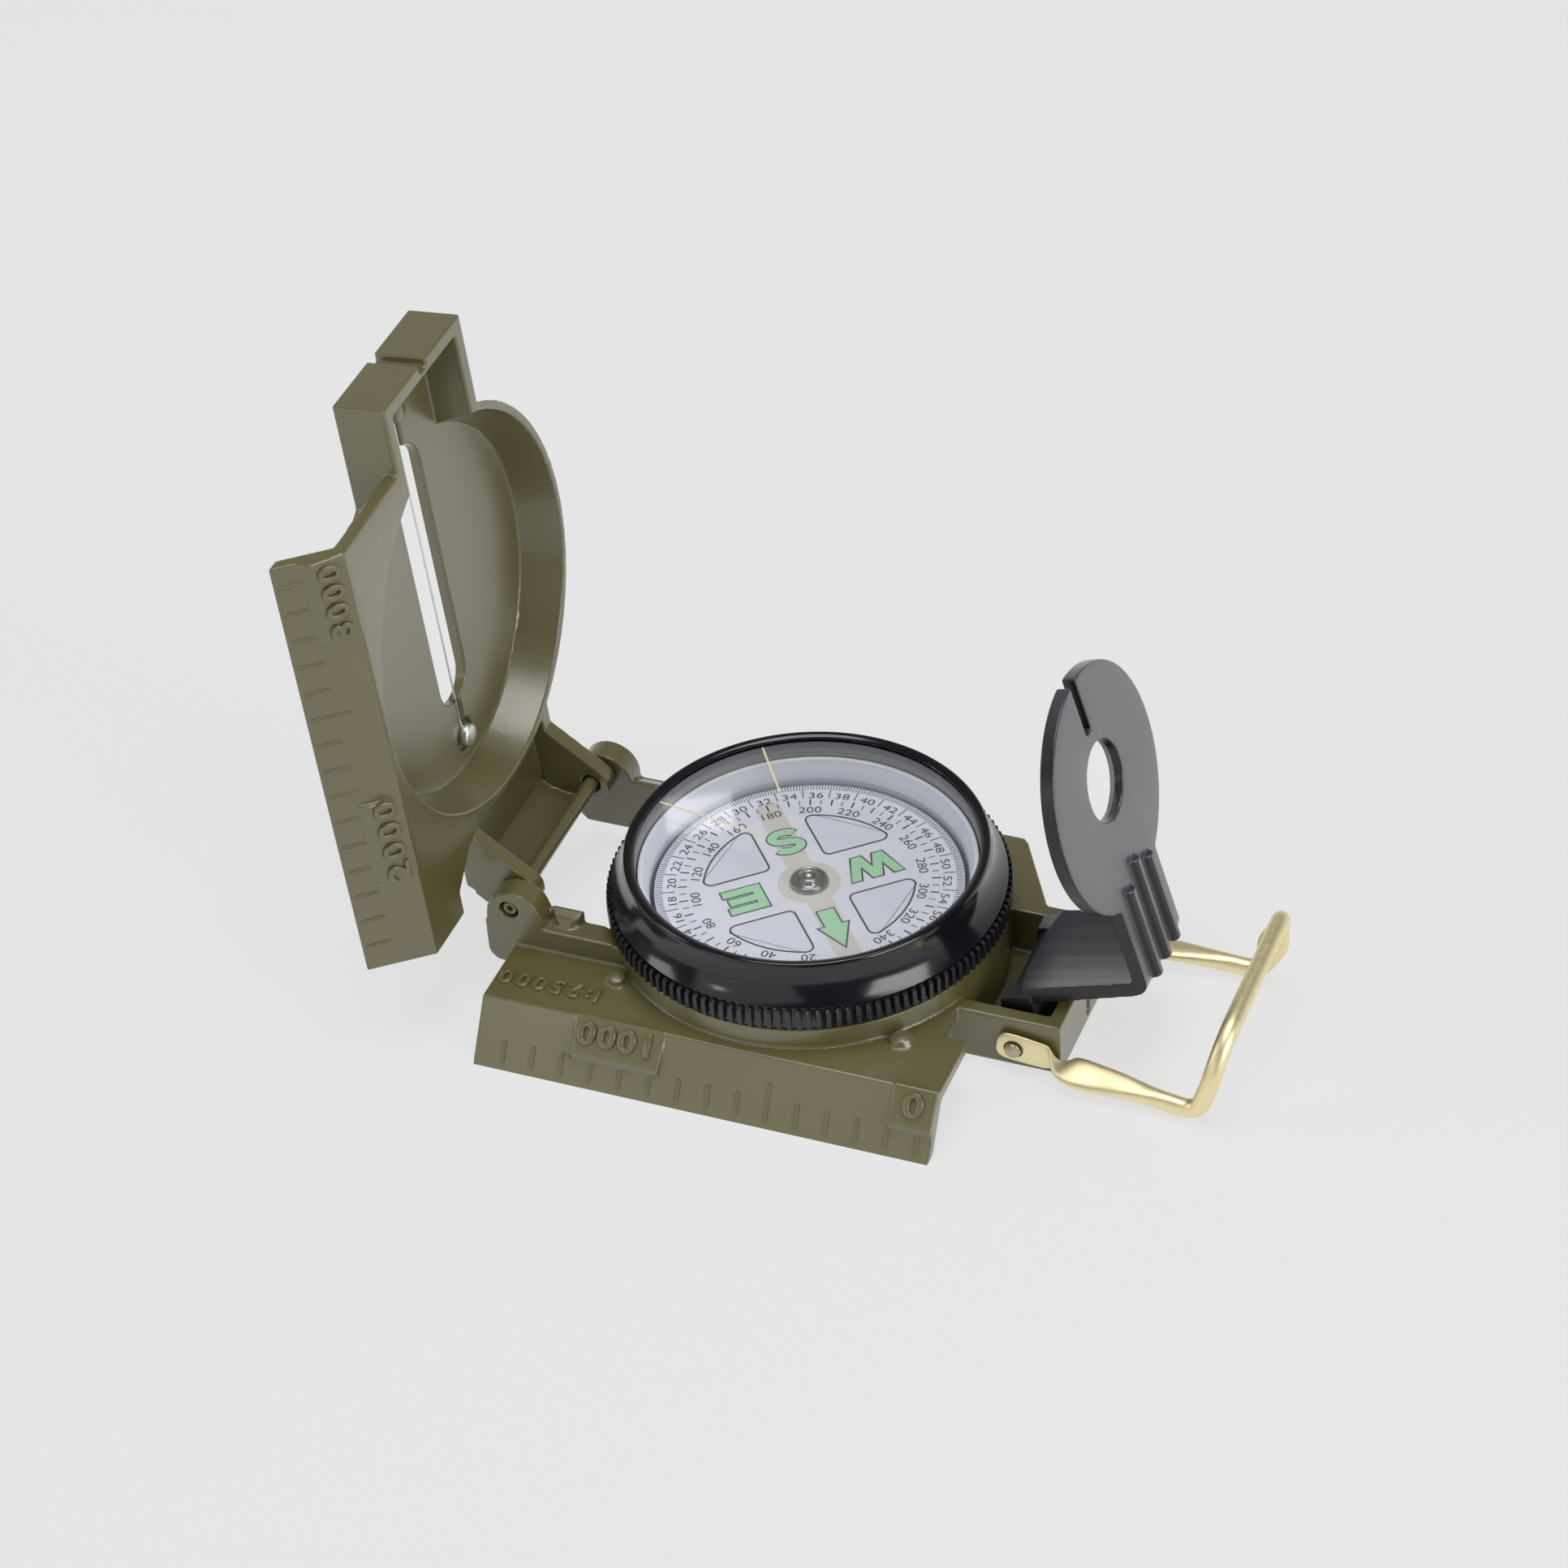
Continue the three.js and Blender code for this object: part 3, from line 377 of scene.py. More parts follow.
def lettering(text, height, stretch=1.0, depth=0.01, ease=0.0):
    """Figures as a closed mesh, centred on the origin in X and Y, with a given height."""
    curve = bpy.data.curves.new("figures", "FONT")
    curve.body = text
    curve.resolution_u = 4
    draft = linked("draft", curve)
    bpy.context.view_layer.update()
    curve.size = height / draft.dimensions.y
    curve.extrude = depth
    curve.bevel_depth = ease
    curve.bevel_resolution = 1
    bpy.context.view_layer.update()
    mesh = baked(draft)
    bpy.data.curves.remove(curve)
    x, y = ([vertex.co[i] for vertex in mesh.vertices] for i in (0, 1))
    to_middle = moved(-(min(x) + max(x)) / 2, -(min(y) + max(y)) / 2)
    return cleaned(placed(mesh, Matrix.Diagonal((stretch, 1, 1, 1)) @ to_middle))


def piece(name, mesh, material, body, slot, *stands_for, smooth=35):
    """A finished piece: in metres, at the origin, riding on its body."""
    mesh.transform(TO_METRES)
    mesh.materials.clear()
    mesh.materials.append(material)
    mesh.polygons.foreach_set("use_smooth", [True] * len(mesh.polygons))
    if smooth:
        mesh.set_sharp_from_angle(angle=math.radians(smooth))
    mesh.name = name
    item = linked(name, mesh)
    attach(item, body)
    if stands_for:
        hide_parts(*stands_for)
    return item


def carry_over(node, material):
    """A solid that shows as it is, with its own material."""
    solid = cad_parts[node]
    solid.data.materials.clear()
    solid.data.materials.append(material)


def cast_skin(node, own_frame, step, rounds, share, extra=(), cuts=()):
    """A copy of a solid, trimmed and with extra meshes fused on, in one skin with its edges eased."""
    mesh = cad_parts[node].data.copy()
    mesh.transform(TO_MILLIMETRES)
    mesh = cleaned(placed(mesh, own_frame.inverted()))
    for tool in cuts:
        mesh = trimmed(mesh, tool)
    skin = ("REMESH", {"mode": "VOXEL", "voxel_size": step})
    ease = ("SMOOTH", {"factor": 0.5, "iterations": rounds})
    thin = ("DECIMATE", {"ratio": share})
    mesh = placed(evaluated(joined([mesh, *extra]), skin, ease, thin), own_frame)
    blend_normals(mesh)
    return mesh


def blend_normals(mesh, limit=math.radians(10), rounds=40):
    """Sets normals that keep wide faces flat and run evenly over the flats of a turned face."""
    count, sides = len(mesh.vertices), len(mesh.polygons)
    mesh.polygons.foreach_set("use_smooth", [True] * sides)
    facing, area, corners = np.empty(sides * 3), np.empty(sides), np.empty(sides, int)
    mesh.polygons.foreach_get("normal", facing)
    mesh.polygons.foreach_get("area", area)
    mesh.polygons.foreach_get("loop_total", corners)
    spots, ends = np.empty(len(mesh.loops), int), np.empty(len(mesh.edges) * 2, int)
    mesh.loops.foreach_get("vertex_index", spots)
    mesh.edges.foreach_get("vertices", ends)
    owner = np.repeat(np.arange(sides), corners)
    pull = facing.reshape(-1, 3) * (area / area.max())[:, None]
    first, last = ends.reshape(-1, 2).T

    def gathered(targets, values):
        return np.stack([np.bincount(targets, values[:, k], count) for k in range(3)], 1)

    def unit(values):
        return values / np.maximum(np.linalg.norm(values, axis=1), 1e-12)[:, None]

    normals = unit(gathered(spots, pull[owner]))
    near = (normals[first] * normals[last]).sum(1) > math.cos(limit)
    first, last = first[near], last[near]
    for _ in range(rounds):
        normals = unit(normals + gathered(first, normals[last]) + gathered(last, normals[first]))
    mesh.normals_split_custom_set_from_vertices(normals)


# Node trees for what repeats

def tree_with(name, sockets):
    """A new geometry node tree with named inputs; gives the tree and its inputs."""
    tree = bpy.data.node_groups.new(name, "GeometryNodeTree")
    for socket_name, kind in sockets.items():
        tree.interface.new_socket(socket_name, in_out="INPUT", socket_type=f"NodeSocket{kind}")
    tree.interface.new_socket("Geometry", in_out="OUTPUT", socket_type="NodeSocketGeometry")
    return tree, tree.nodes.new("NodeGroupInput").outputs


def end_tree(tree, instances, material):
    """The tree's last nodes: real geometry with its material."""
    real = add(tree, "GeometryNodeRealizeInstances", {"Geometry": instances})
    painted = add(tree, "GeometryNodeSetMaterial", {"Geometry": real.outputs[0], "Material": material})
    add(tree, "NodeGroupOutput", {"Geometry": painted.outputs[0]})
    return tree


def grown(maker, values):
    """The plain mesh that a tree makes from its named input values."""
    draft = linked("draft", bpy.data.meshes.new("draft"))
    modifier = draft.modifiers.new("Growth", "NODES")
    modifier.node_group = bpy.data.node_groups.get(maker.__name__) or maker(maker.__name__)
    for item in modifier.node_group.interface.items_tree:
        if item.in_out == "INPUT":
            modifier[item.identifier] = values[item.name]
    return baked(draft)


def blocks_round_a_circle(name):
    """Blocks set round a circle, each with its X axis outwards: knurl teeth and dial ticks."""
    tree, given = tree_with(name, {
        "Count": "Int", "Radius": "Float", "First Angle": "Float", "Block": "Vector", "Easing": "Int",
        "Material": "Material"})
    ring = add(tree, "GeometryNodeMeshCircle", {"Vertices": given["Count"], "Radius": given["Radius"]})
    block = add(tree, "GeometryNodeMeshCube", {"Size": given["Block"]})
    eased = add(tree, "GeometryNodeSubdivisionSurface", {
        "Mesh": block.outputs["Mesh"], "Level": given["Easing"], "Edge Crease": 0.6})
    step = sum_of(tree, "DIVIDE", 2 * math.pi, given["Count"])
    angle = sum_of(tree, "MULTIPLY", add(tree, "GeometryNodeInputIndex").outputs[0], step)
    turn = add(tree, "ShaderNodeCombineXYZ", {"Z": angle})
    blocks = add(tree, "GeometryNodeInstanceOnPoints", {
        "Points": ring.outputs["Mesh"], "Instance": eased.outputs["Mesh"], "Rotation": turn.outputs[0]})
    first = add(tree, "ShaderNodeCombineXYZ", {"Z": given["First Angle"]})
    whole = add(tree, "GeometryNodeTransform", {
        "Geometry": blocks.outputs[0], "Rotation": first.outputs[0]})
    return end_tree(tree, whole.outputs[0], given["Material"])


def ridges_along_a_line(name):
    """Round-backed ridges set along X, each running along Y from its lower end: ruler ticks."""
    tree, given = tree_with(name, {
        "Count": "Int", "Pitch": "Float", "Ridge Radius": "Float", "Ridge Length": "Float",
        "Long Length": "Float", "Long Index": "Int", "Material": "Material"})
    pitch = add(tree, "ShaderNodeCombineXYZ", {"X": given["Pitch"]})
    line = add(tree, "GeometryNodeMeshLine", {"Count": given["Count"], "Offset": pitch.outputs[0]})
    run = add(tree, "GeometryNodeCurvePrimitiveLine", {"Start": (0, 0, 0), "End": (0, 1, 0)})
    section = add(tree, "GeometryNodeCurvePrimitiveCircle", {
        "Resolution": 12, "Radius": given["Ridge Radius"]})
    ridge = add(tree, "GeometryNodeCurveToMesh", {
        "Curve": run.outputs[0], "Profile Curve": section.outputs[0], "Fill Caps": True})
    index = add(tree, "GeometryNodeInputIndex")
    is_long = add(tree, "FunctionNodeCompare", {2: index.outputs[0], 3: given["Long Index"]},
                  data_type="INT", operation="EQUAL")
    reach = add(tree, "GeometryNodeSwitch", {
        "Switch": is_long.outputs[0], "False": given["Ridge Length"], "True": given["Long Length"]},
        input_type="FLOAT")
    size = add(tree, "ShaderNodeCombineXYZ", {"X": 1.0, "Y": reach.outputs[0], "Z": 1.0})
    ridges = add(tree, "GeometryNodeInstanceOnPoints", {
        "Points": line.outputs["Mesh"], "Instance": ridge.outputs["Mesh"], "Scale": size.outputs[0]})
    return end_tree(tree, ridges.outputs[0], given["Material"])


# Materials

def tinted(base, share):
    """A colour made lighter or darker."""
    return [*(c * share for c in base[:3]), 1]


def dress(tree, shader, tone, gloss, height, depth):
    """Gives a shader its colour, its roughness and a fine relief."""
    relief = add(tree, "ShaderNodeBump", {"Height": height, "Strength": depth, "Distance": 0.1 * MM})
    for name, source in (("Base Color", tone), ("Roughness", gloss), ("Normal", relief.outputs[0])):
        tree.links.new(source, shader.inputs[name])


def enamel(name, base):
    """Stove enamel on cast zinc: dark olive, half gloss, with a fine orange peel and a few pale specks."""
    material, tree, shader = new_material(name)
    cloud = noise(tree, 90.0, 3.0)
    shade = blend(tree, cloud, tinted(base, 0.9), tinted(base, 1.1))
    grit = add(tree, "ShaderNodeTexVoronoi", {"Vector": own_place(tree), "Scale": 120.0})
    speck = sum_of(tree, "LESS_THAN", grit.outputs["Distance"], 0.014)
    tone = blend(tree, speck, shade, linear("#b9b49c"))
    dress(tree, shader, tone, ramp(tree, cloud, 0.31, 0.41), noise(tree, 1400.0, 2.0), 0.22)
    for label, value in (("IOR", 1.6), ("Coat Weight", 0.75), ("Coat Roughness", 0.24)):
        shader.inputs[label].default_value = value
    return material


def moulded(name, base, smooth, rough, grain, depth):
    """A moulded plastic: one colour, with a gloss that varies and a fine grain."""
    material, tree, shader = new_material(name)
    wipe = noise(tree, 260.0, 4.0)
    tone = blend(tree, wipe, tinted(base, 0.92), tinted(base, 1.08))
    dress(tree, shader, tone, ramp(tree, wipe, smooth, rough), noise(tree, grain, 2.0), depth)
    return material


def metal(name, base, smooth, rough, grain):
    """A bare metal: its gloss is broken by fine drawing marks and handling."""
    material, tree, shader = new_material(name)
    marks = noise(tree, grain, 3.0)
    tone = blend(tree, marks, tinted(base, 0.85), tinted(base, 1.0))
    dress(tree, shader, tone, ramp(tree, marks, smooth, rough), marks, 0.05)
    shader.inputs["Metallic"].default_value = 1.0
    return material


def clear(name, haze):
    """Clear acrylic: what lies under it shows unbent, with the gloss of its faces on top."""
    material, tree, shader = new_material(name)
    tree.nodes.remove(shader)
    gloss = ramp(tree, noise(tree, 200.0, 3.0), haze, haze * 2)
    through = add(tree, "ShaderNodeBsdfTransparent", {"Color": WHITE})
    mirror = add(tree, "ShaderNodeBsdfAnisotropic", {"Color": WHITE, "Roughness": gloss})
    edge = add(tree, "ShaderNodeFresnel", {"IOR": 1.4}).outputs[0]
    inner = add(tree, "ShaderNodeNewGeometry").outputs["Backfacing"]
    share = sum_of(tree, "MULTIPLY", edge, sum_of(tree, "SUBTRACT", 1.0, inner))
    tree.links.new(mixed(tree, share, through, mirror), tree.nodes["Material Output"].inputs["Surface"])
    return material


def smoked(name):
    """Smoked acrylic, dark under the glass; its paler foot is painted light that stands for the white bowl
    shining through.
    """
    material, tree, shader = new_material(name)
    height = add(tree, "ShaderNodeSeparateXYZ", {0: own_place(tree)}).outputs["Z"]
    bowl_light_share = ramp(tree, height, 0.0, 1.0, 16.8 * MM, 18.0 * MM)
    # Painted light: pale at the foot and dark at the top, for the white bowl's light coming through
    tree.links.new(blend(tree, bowl_light_share, linear("#b4b2ae"), linear("#74757d")), shader.inputs["Base Color"])
    shader.inputs["Roughness"].default_value = 0.3
    return material


def made(name, maker, *values):
    """A material by name, made the first time that it is asked for."""
    return bpy.data.materials.get(name) or maker(name, *values)


def olive():
    """The enamel of both castings."""
    return made("olive stove enamel on cast zinc", enamel, bpy.context.scene.compass_casting.enamel)


def steel():
    """Polished steel: bright, with hardly a mark."""
    return made("polished steel", metal, linear("#d9d9d6"), 0.12, 0.25, 900.0)


def acrylic():
    """Cast acrylic glass, polished, with a little handling haze."""
    return made("clear acrylic glass", clear, 0.015)


# Castings

# Rulers: the face leans out while it falls away from the plate
RULER_EDGE_Y = -26.9
RULER_LEAN = 5.0
RULER_FALL = 7.65
LID_RULER_TOP = 5.5
TICK_COUNT = 15
TICK_FOOT = 8.25
TICK_LENGTH = 3.0
LONG_TICK = 4.9
LONG_TICK_INDEX = 5

# Each ruler: start and pitch of its ticks, foot and toe of its pads, both ends of each pad,
# and each figure's text, start, pitch, place down the slope, height and stretch
BASE_TICKS = (25.3, -4.0)
BASE_PAD = (4.9, 5.9)
BASE_PAD_ENDS = ((-21.5, -9.4), (21.3, 27.1))
BASE_FIGURES = (("1000", -11.35, -2.77, 1.95, 2.75, 1.25), ("0", 24.3, 0.0, 2.1, 3.0, 1.25))
LID_TICKS = (59.3, -3.96)
LID_PAD = (4.2, 5.5)
LID_PAD_ENDS = ((50.3, 62.2), (13.5, 25.6))
LID_FIGURES = (("3000", 52.1, 2.75, 2.1, 2.6, 1.2), ("2000", 14.9, 3.2, 2.2, 2.7, 1.3))
PAD_TOP = 0.2
PAD_FOOT = 1.05
CAST_EASE = 0.15
CAST_ROUNDS = 4
CAST_SHARE = 0.2

# The map scale on the plate, with the place of each sign along X
SCALE_SIGNS = "1:25000"
SCALE_PLACES = (-20.4, -21.6, -23.6, -25.9, -28.3, -30.6, -33.0)
SCALE_Y = -23.0
SCALE_HEIGHT = 2.4
COLON_HEIGHT = 1.3

STUD = [(0, 7.0), (1.45, 7.0), (1.45, 7.9), (1.3, 8.35), (1.0, 8.66), (0.5, 8.85), (0, 8.88)]
STUD_X = 19.51
STUD_Y = -19.04

# What is cut from above the stop pegs, as a section in Y and Z and its span in X
PEG_ABOVE = [(12.9, 12.87), (15.8, 11.71), (15.8, 15.0), (12.9, 15.0)]
PEG_SPAN = (-30.3, -25.6)

# A bead along the lid's hinge trough, as a section in Y and Z and its span in X, in the lid's frame
TROUGH_BEAD = [(-10.6, 2.2), (10.6, 2.2), (10.6, 3.5), (-10.6, 3.5)]
TROUGH_BEAD_SPAN = (-3.15, -2.05)

HINGE_HALF = 16.2
HINGE_TIP = [(0, 0.6), (0.4, 0.6), (0.4, 0.08), (0.48, 0), (0.85, 0), (1.0, 0.15)]

# The sighting wire and its pegs, in the lid's frame
WIRE_HEIGHT = 11.2
WIRE_RADIUS = 0.15
WIRE_ENDS = (15.9, 63.1)
PEG_PLACES = (14.5, 64.5)
PEG = [(0, 11.5), (1.4, 11.5), (1.5, 11.3), (1.5, 10.2), (1.4, 9.95), (1.2, 9.8), (0.5, 9.72), (0, 9.7)]


def ruler_face(top, way):
    """A ruler face: along X, down the slope, out; way is -1 where the slope falls and 1 where it rises."""
    slope = Vector((0, -RULER_LEAN, way * RULER_FALL)).normalized()
    out = Vector((0, -RULER_FALL, -way * RULER_LEAN)).normalized()
    return framed((0, RULER_EDGE_Y, top), Vector((1, 0, 0)), slope, out)


BASE_RULER = ruler_face(RULER_FALL, -1)
LID_RULER = LID_FRAME @ ruler_face(LID_RULER_TOP, 1)


def ruler_pad(first, last, foot, toe):
    """A raised field for ruler figures, in ruler places (along, down the slope, out): highest at its foot."""
    section = [(-0.35, -0.5), (-0.3, 0.05), (0.1, PAD_TOP), (foot, PAD_FOOT), (toe, 0.05), (toe, -0.5)]
    return lofted([[(x, down, out) for down, out in section] for x in (first, last)])


def cast_figure(text, height, stretch=1.0):
    """A figure that stands out of a casting, with eased edges."""
    depth = bpy.context.scene.compass_casting.relief - CAST_EASE
    return lettering(text, height, stretch, depth, CAST_EASE)


def ruler_marks(name, ruler, body, ticks, rows, foot, side):
    """The cast ticks and figures on a ruler face; side turns the figures to read along or against it."""
    start, pitch = ticks
    meshes = [placed(grown(ridges_along_a_line, {
        "Count": TICK_COUNT, "Pitch": pitch, "Ridge Radius": bpy.context.scene.compass_casting.ridge,
        "Ridge Length": TICK_LENGTH, "Long Length": LONG_TICK, "Long Index": LONG_TICK_INDEX,
        "Material": olive(),
    }), ruler @ moved(start, TICK_FOOT) @ Matrix.Diagonal((1, -1, 1, 1)))]
    lean = spun(math.atan2(PAD_FOOT - PAD_TOP, foot), "X")
    facing = Matrix.Diagonal((side, 1, 1, 1))
    for text, first, step, down, height, stretch in rows:
        for i, sign in enumerate(text):
            on_pad = moved(first + step * i, 0, PAD_TOP) @ lean @ moved(0, down)
            meshes.append(placed(cast_figure(sign, height, stretch), ruler @ on_pad @ facing))
    piece(name, cleaned(joined(meshes)), olive(), body, "olive_paint", smooth=50)


class COMPASS_OT_base(bpy.types.Operator):
    """Base casting with its ruler, figures, screws and hinge rod"""
    bl_idname = "compass.base"
    bl_label = "Base casting"

    def execute(self, context):
        step = context.scene.compass_casting.skin
        extra = [placed(ruler_pad(*ends, *BASE_PAD), BASE_RULER) for ends in BASE_PAD_ENDS]
        cuts = []
        for side in (-1, 1):
            extra.append(placed(turned(STUD, SMALL_TURN), moved(side * STUD_X, STUD_Y)))
            cuts.append(placed(slab([(side * y, z) for y, z in PEG_ABOVE], *PEG_SPAN), ACROSS))
        skin = cast_skin("base_body", Matrix.Identity(4), step, CAST_ROUNDS, CAST_SHARE, extra, cuts)
        piece("base_casting", skin, olive(), "base", "olive_paint", "base_body", smooth=0)
        ruler_marks("base_ruler_marks", BASE_RULER, "base", BASE_TICKS, BASE_FIGURES, BASE_PAD[0], -1)
        plate = axes((0, 0, RULER_FALL), Vector((-1, 0, 0)), Vector((0, -1, 0)))
        scale = []
        for sign, along in zip(SCALE_SIGNS, SCALE_PLACES):
            figure = cast_figure(sign, COLON_HEIGHT if sign == ":" else SCALE_HEIGHT)
            scale.append(placed(figure, plate @ moved(-along, -SCALE_Y)))
        piece("base_scale_figures", cleaned(joined(scale)), olive(), "base", "olive_paint", smooth=50)
        carry_over("bottom_cover", olive())
        for i in (1, 2, 3):
            carry_over(f"base_screw_{i}", steel())
        far_tip = [(r, 2 * HINGE_HALF - z) for r, z in reversed(HINGE_TIP)]
        place = moved(LID_HINGE.x, -HINGE_HALF, LID_HINGE.z) @ spun(-QUARTER, "X")
        hinge = placed(turned([*HINGE_TIP, *far_tip], SMALL_TURN), place)
        piece("hinge_rod", hinge, olive(), "base", "olive_paint", "hinge_pin")
        return {"FINISHED"}


class COMPASS_OT_lid(bpy.types.Operator):
    """Lid casting with its ruler, figures, sighting wire and pegs"""
    bl_idname = "compass.lid"
    bl_label = "Lid casting"

    def execute(self, context):
        step = context.scene.compass_casting.skin
        own = LID_FRAME.inverted() @ LID_RULER
        extra = [placed(ruler_pad(*ends, *LID_PAD), own) for ends in LID_PAD_ENDS]
        extra.append(placed(slab(TROUGH_BEAD, *TROUGH_BEAD_SPAN), ACROSS))
        skin = cast_skin("lid_shell", LID_FRAME, step, CAST_ROUNDS, CAST_SHARE, extra)
        piece("lid_casting", skin, olive(), "lid", "olive_paint", "lid_shell", smooth=0)
        ruler_marks("lid_ruler_marks", LID_RULER, "lid", LID_TICKS, LID_FIGURES, LID_PAD[0], 1)
        # Nickel plate on the wire and its peg: pale and dull, so they stay bright from every side
        nickel = made("dull nickel plate", metal, linear("#efeeea"), 0.35, 0.5, 900.0)
        wire = rod(*((x, 0, WIRE_HEIGHT) for x in WIRE_ENDS), WIRE_RADIUS, WIRE_RADIUS / 3, WIRE_TURN)
        piece("sight_wire", placed(wire, LID_FRAME), nickel, "lid", "steel", "sighting_wire")
        pegs = ("wire_peg_lower", "wire_peg_upper")
        for name, along, coat in zip(pegs, PEG_PLACES, (nickel, olive())):
            peg = placed(turned(PEG, SMALL_TURN), LID_FRAME @ moved(along))
            piece(f"{name}_turned", peg, coat, "lid", "steel", name)
        return {"FINISHED"}


# Bezel and capsule

# The bezel's outside: a cove from the flange up to a round rim
BEZEL_NECK = 23.6
COVE_OUT = 2.0
COVE_LOW = 14.35
COVE_HIGH = 18.95
RIM_IN = 0.45
RIM_UP = 0.7
KNURL_R = 26.22
KNURL_MIDDLE = 12.55
TOOTH_WIDTH = 0.76
TOOTH_HEIGHT = 3.2
LINER = [(22.12, 15.8), (22.36, 15.8), (22.36, 18.7), (22.12, 18.7)]
GLASS = [(0, 17.85), (22.5, 17.85), (22.65, 18.0), (22.65, 18.75), (22.55, GLASS_TOP), (0, GLASS_TOP)]
INDEX_LINES = (((-13.1, 17.8), (-7.6, 9.9)), ((-21.7, 3.3), (-6.0, 0.9)))
INDEX_HALF = 0.13
BOWL = [
    (21.9, 3.8, 0.3), (21.9, 16.6, 0.15), (21.3, 16.6, 0.2), (21.0, 15.4, 0.0), (20.92, 15.3, 0.0),
    (20.6, 13.9, 0.3), (20.6, 4.8, 0.5), (1.0, 4.8, 0.0), (1.0, 3.8, 0.0),
]
WINDOW = [(0, 16.9), (21.8, 16.9), (21.9, 17.0), (21.9, 17.4), (21.8, 17.5), (0, 17.5)]


class COMPASS_OT_bezel(bpy.types.Operator):
    """Turning bezel with its knurl, glass and index lines"""
    bl_idname = "compass.bezel"
    bl_label = "Bezel"

    def execute(self, context):
        sizes = context.scene.compass_bezel
        # Injection-moulded styrene, polished in the mould, so it mirrors the lamps softly
        gloss = made("polished black polystyrene", moulded, sizes.plastic, 0.1, 0.18, 700.0, 0.02)
        # The knurl's faces come from an unpolished part of the mould, so they look grey and dull
        dull = made("unpolished black polystyrene", moulded, linear("#1e1e24"), 0.24, 0.38, 1500.0, 0.06)
        shell = turned(self.profile(), BEZEL_TURN)
        piece("bezel_shell", shell, gloss, "bezel", "black_plastic", "bezel_ring", smooth=40)
        # The liner's pale foot is painted light from the white bowl
        liner = made("smoked acrylic liner", smoked)
        piece("bezel_liner", turned(LINER), liner, "bezel", "black_plastic")
        teeth = grown(blocks_round_a_circle, {
            "Count": sizes.teeth, "Radius": KNURL_R - sizes.tooth / 2, "First Angle": 0.0,
            "Block": (sizes.tooth, TOOTH_WIDTH, TOOTH_HEIGHT), "Easing": 1, "Material": dull})
        teeth.transform(moved(z=KNURL_MIDDLE))
        piece("bezel_knurl", teeth, dull, "bezel", "black_plastic", smooth=30)
        piece("bezel_glass_pane", turned(GLASS, PANE_TURN), acrylic(), "bezel", "clear_window", "bezel_glass")
        # Luminous paint drawn on the glass: chalky pale yellow
        chalk = made("pale luminous paint", moulded, linear("#e6dfb0"), 0.6, 0.75, 1200.0, 0.1)
        lines = [slab(stroke(ends, INDEX_HALF), GLASS_TOP - 0.01, GLASS_TOP + 0.02) for ends in INDEX_LINES]
        piece("index_lines", joined(lines), chalk, "bezel", "white_plastic")
        return {"FINISHED"}

    def profile(self):
        """The bezel's section: skirt, flange, cove, rim and the seat of the glass."""
        shares = [k / 14 for k in range(15)]
        angles = [math.radians(15 * k) for k in range(1, 7)]
        rise = COVE_HIGH - COVE_LOW
        cove = [(BEZEL_NECK + COVE_OUT * (1 - t) ** 2.2, COVE_LOW + rise * t) for t in shares]
        rim = [(BEZEL_NECK - RIM_IN * (1 - math.cos(a)), COVE_HIGH + RIM_UP * math.sin(a)) for a in angles]
        return [
            (22.4, 7.5), (23.7, 7.5), (23.7, 10.95), (25.4, 10.95), (25.55, 11.1), (25.55, 14.1),
            (25.6, 14.2), *cove, *rim, (22.75, 19.62), (22.35, 19.45), (22.2, 19.3), (22.2, 19.15),
            (22.95, 19.15), (22.95, 17.55), (22.4, 17.55),
        ]


class COMPASS_OT_capsule(bpy.types.Operator):
    """White capsule bowl with its window, pivot and snap ring"""
    bl_idname = "compass.capsule"
    bl_label = "Capsule"

    def execute(self, context):
        # Moulded white polystyrene with a satin face, slightly blue
        white = made("satin white polystyrene", moulded, linear("#e3e6f0"), 0.3, 0.45, 600.0, 0.04)
        piece("capsule_bowl_moulded", turned(rounded(BOWL)), white, "base", "white_plastic", "capsule_bowl")
        window = turned(WINDOW, PANE_TURN)
        piece("capsule_window_pane", window, acrylic(), "base", "clear_window", "capsule_window")
        carry_over("pivot_post", steel())
        carry_over("snap_ring", steel())
        return {"FINISHED"}


# Dial card

BOARD = [(2.95, 12.7, 0.1), (20.0, 12.7, 0.1), (20.0, CARD_TOP, 0.15), (2.95, CARD_TOP, 0.15)]
CAP = [
    (0, 13.5), (1.4, 12.72), (2.5, 12.7), (2.65, 12.8), (2.65, 13.1), (2.56, 13.55), (2.4, 13.95),
    (2.3, 14.08), (2.15, 14.12), (2.0, 14.05), (1.9, 13.85), (1.55, 13.8), (1.4, 13.9), (1.3, 14.2),
    (1.2, 14.45), (1.05, 14.55), (0.85, 14.5), (0.7, 14.25), (0.5, 14.1), (0, 14.05),
]
STRIP_HUB = 4.1
STRIP_HALF = 1.65
STRIP_REACH = 17.5
FIELD_OUT = 13.8
FIELD_NEAR = 3.6
FIELD_FAR = 4.2
FIELD_LINE = 0.26
FIELD_ROUND = 1.1
FIELD_INNER_ROUND = 1.0
FIELD_STEPS = 10

# Thickness of the print over the card, and how much higher the arrow lies than the other signs
PRINT_SUNK = 0.02
STRIP_THICK = 0.015
FIELD_THICK = 0.01
LINE_THICK = 0.025
PAINT_THICK = 0.04
ARROW_OVER = 0.01
TICK_THICK = 0.03
TICK_RISE = 0.012
FIGURE_RISE = 0.02

# Rings of ticks: count, inner and outer radius, width, and how far the first is turned from north
MIL_STEP = 5.625
TICK_RINGS = (
    (320, 18.95, 19.9, 0.12, 0.0),
    (32, 17.3, 19.0, 0.14, MIL_STEP),
    (72, 15.85, 16.75, 0.13, 0.0),
    (36, 15.75, 16.95, 0.2, 0.0),
)

# Figures: radius, height and stretch
DEGREE_FIGURES = (14.75, 1.25, 1.15)
MIL_FIGURES = (17.75, 1.15, 1.3)

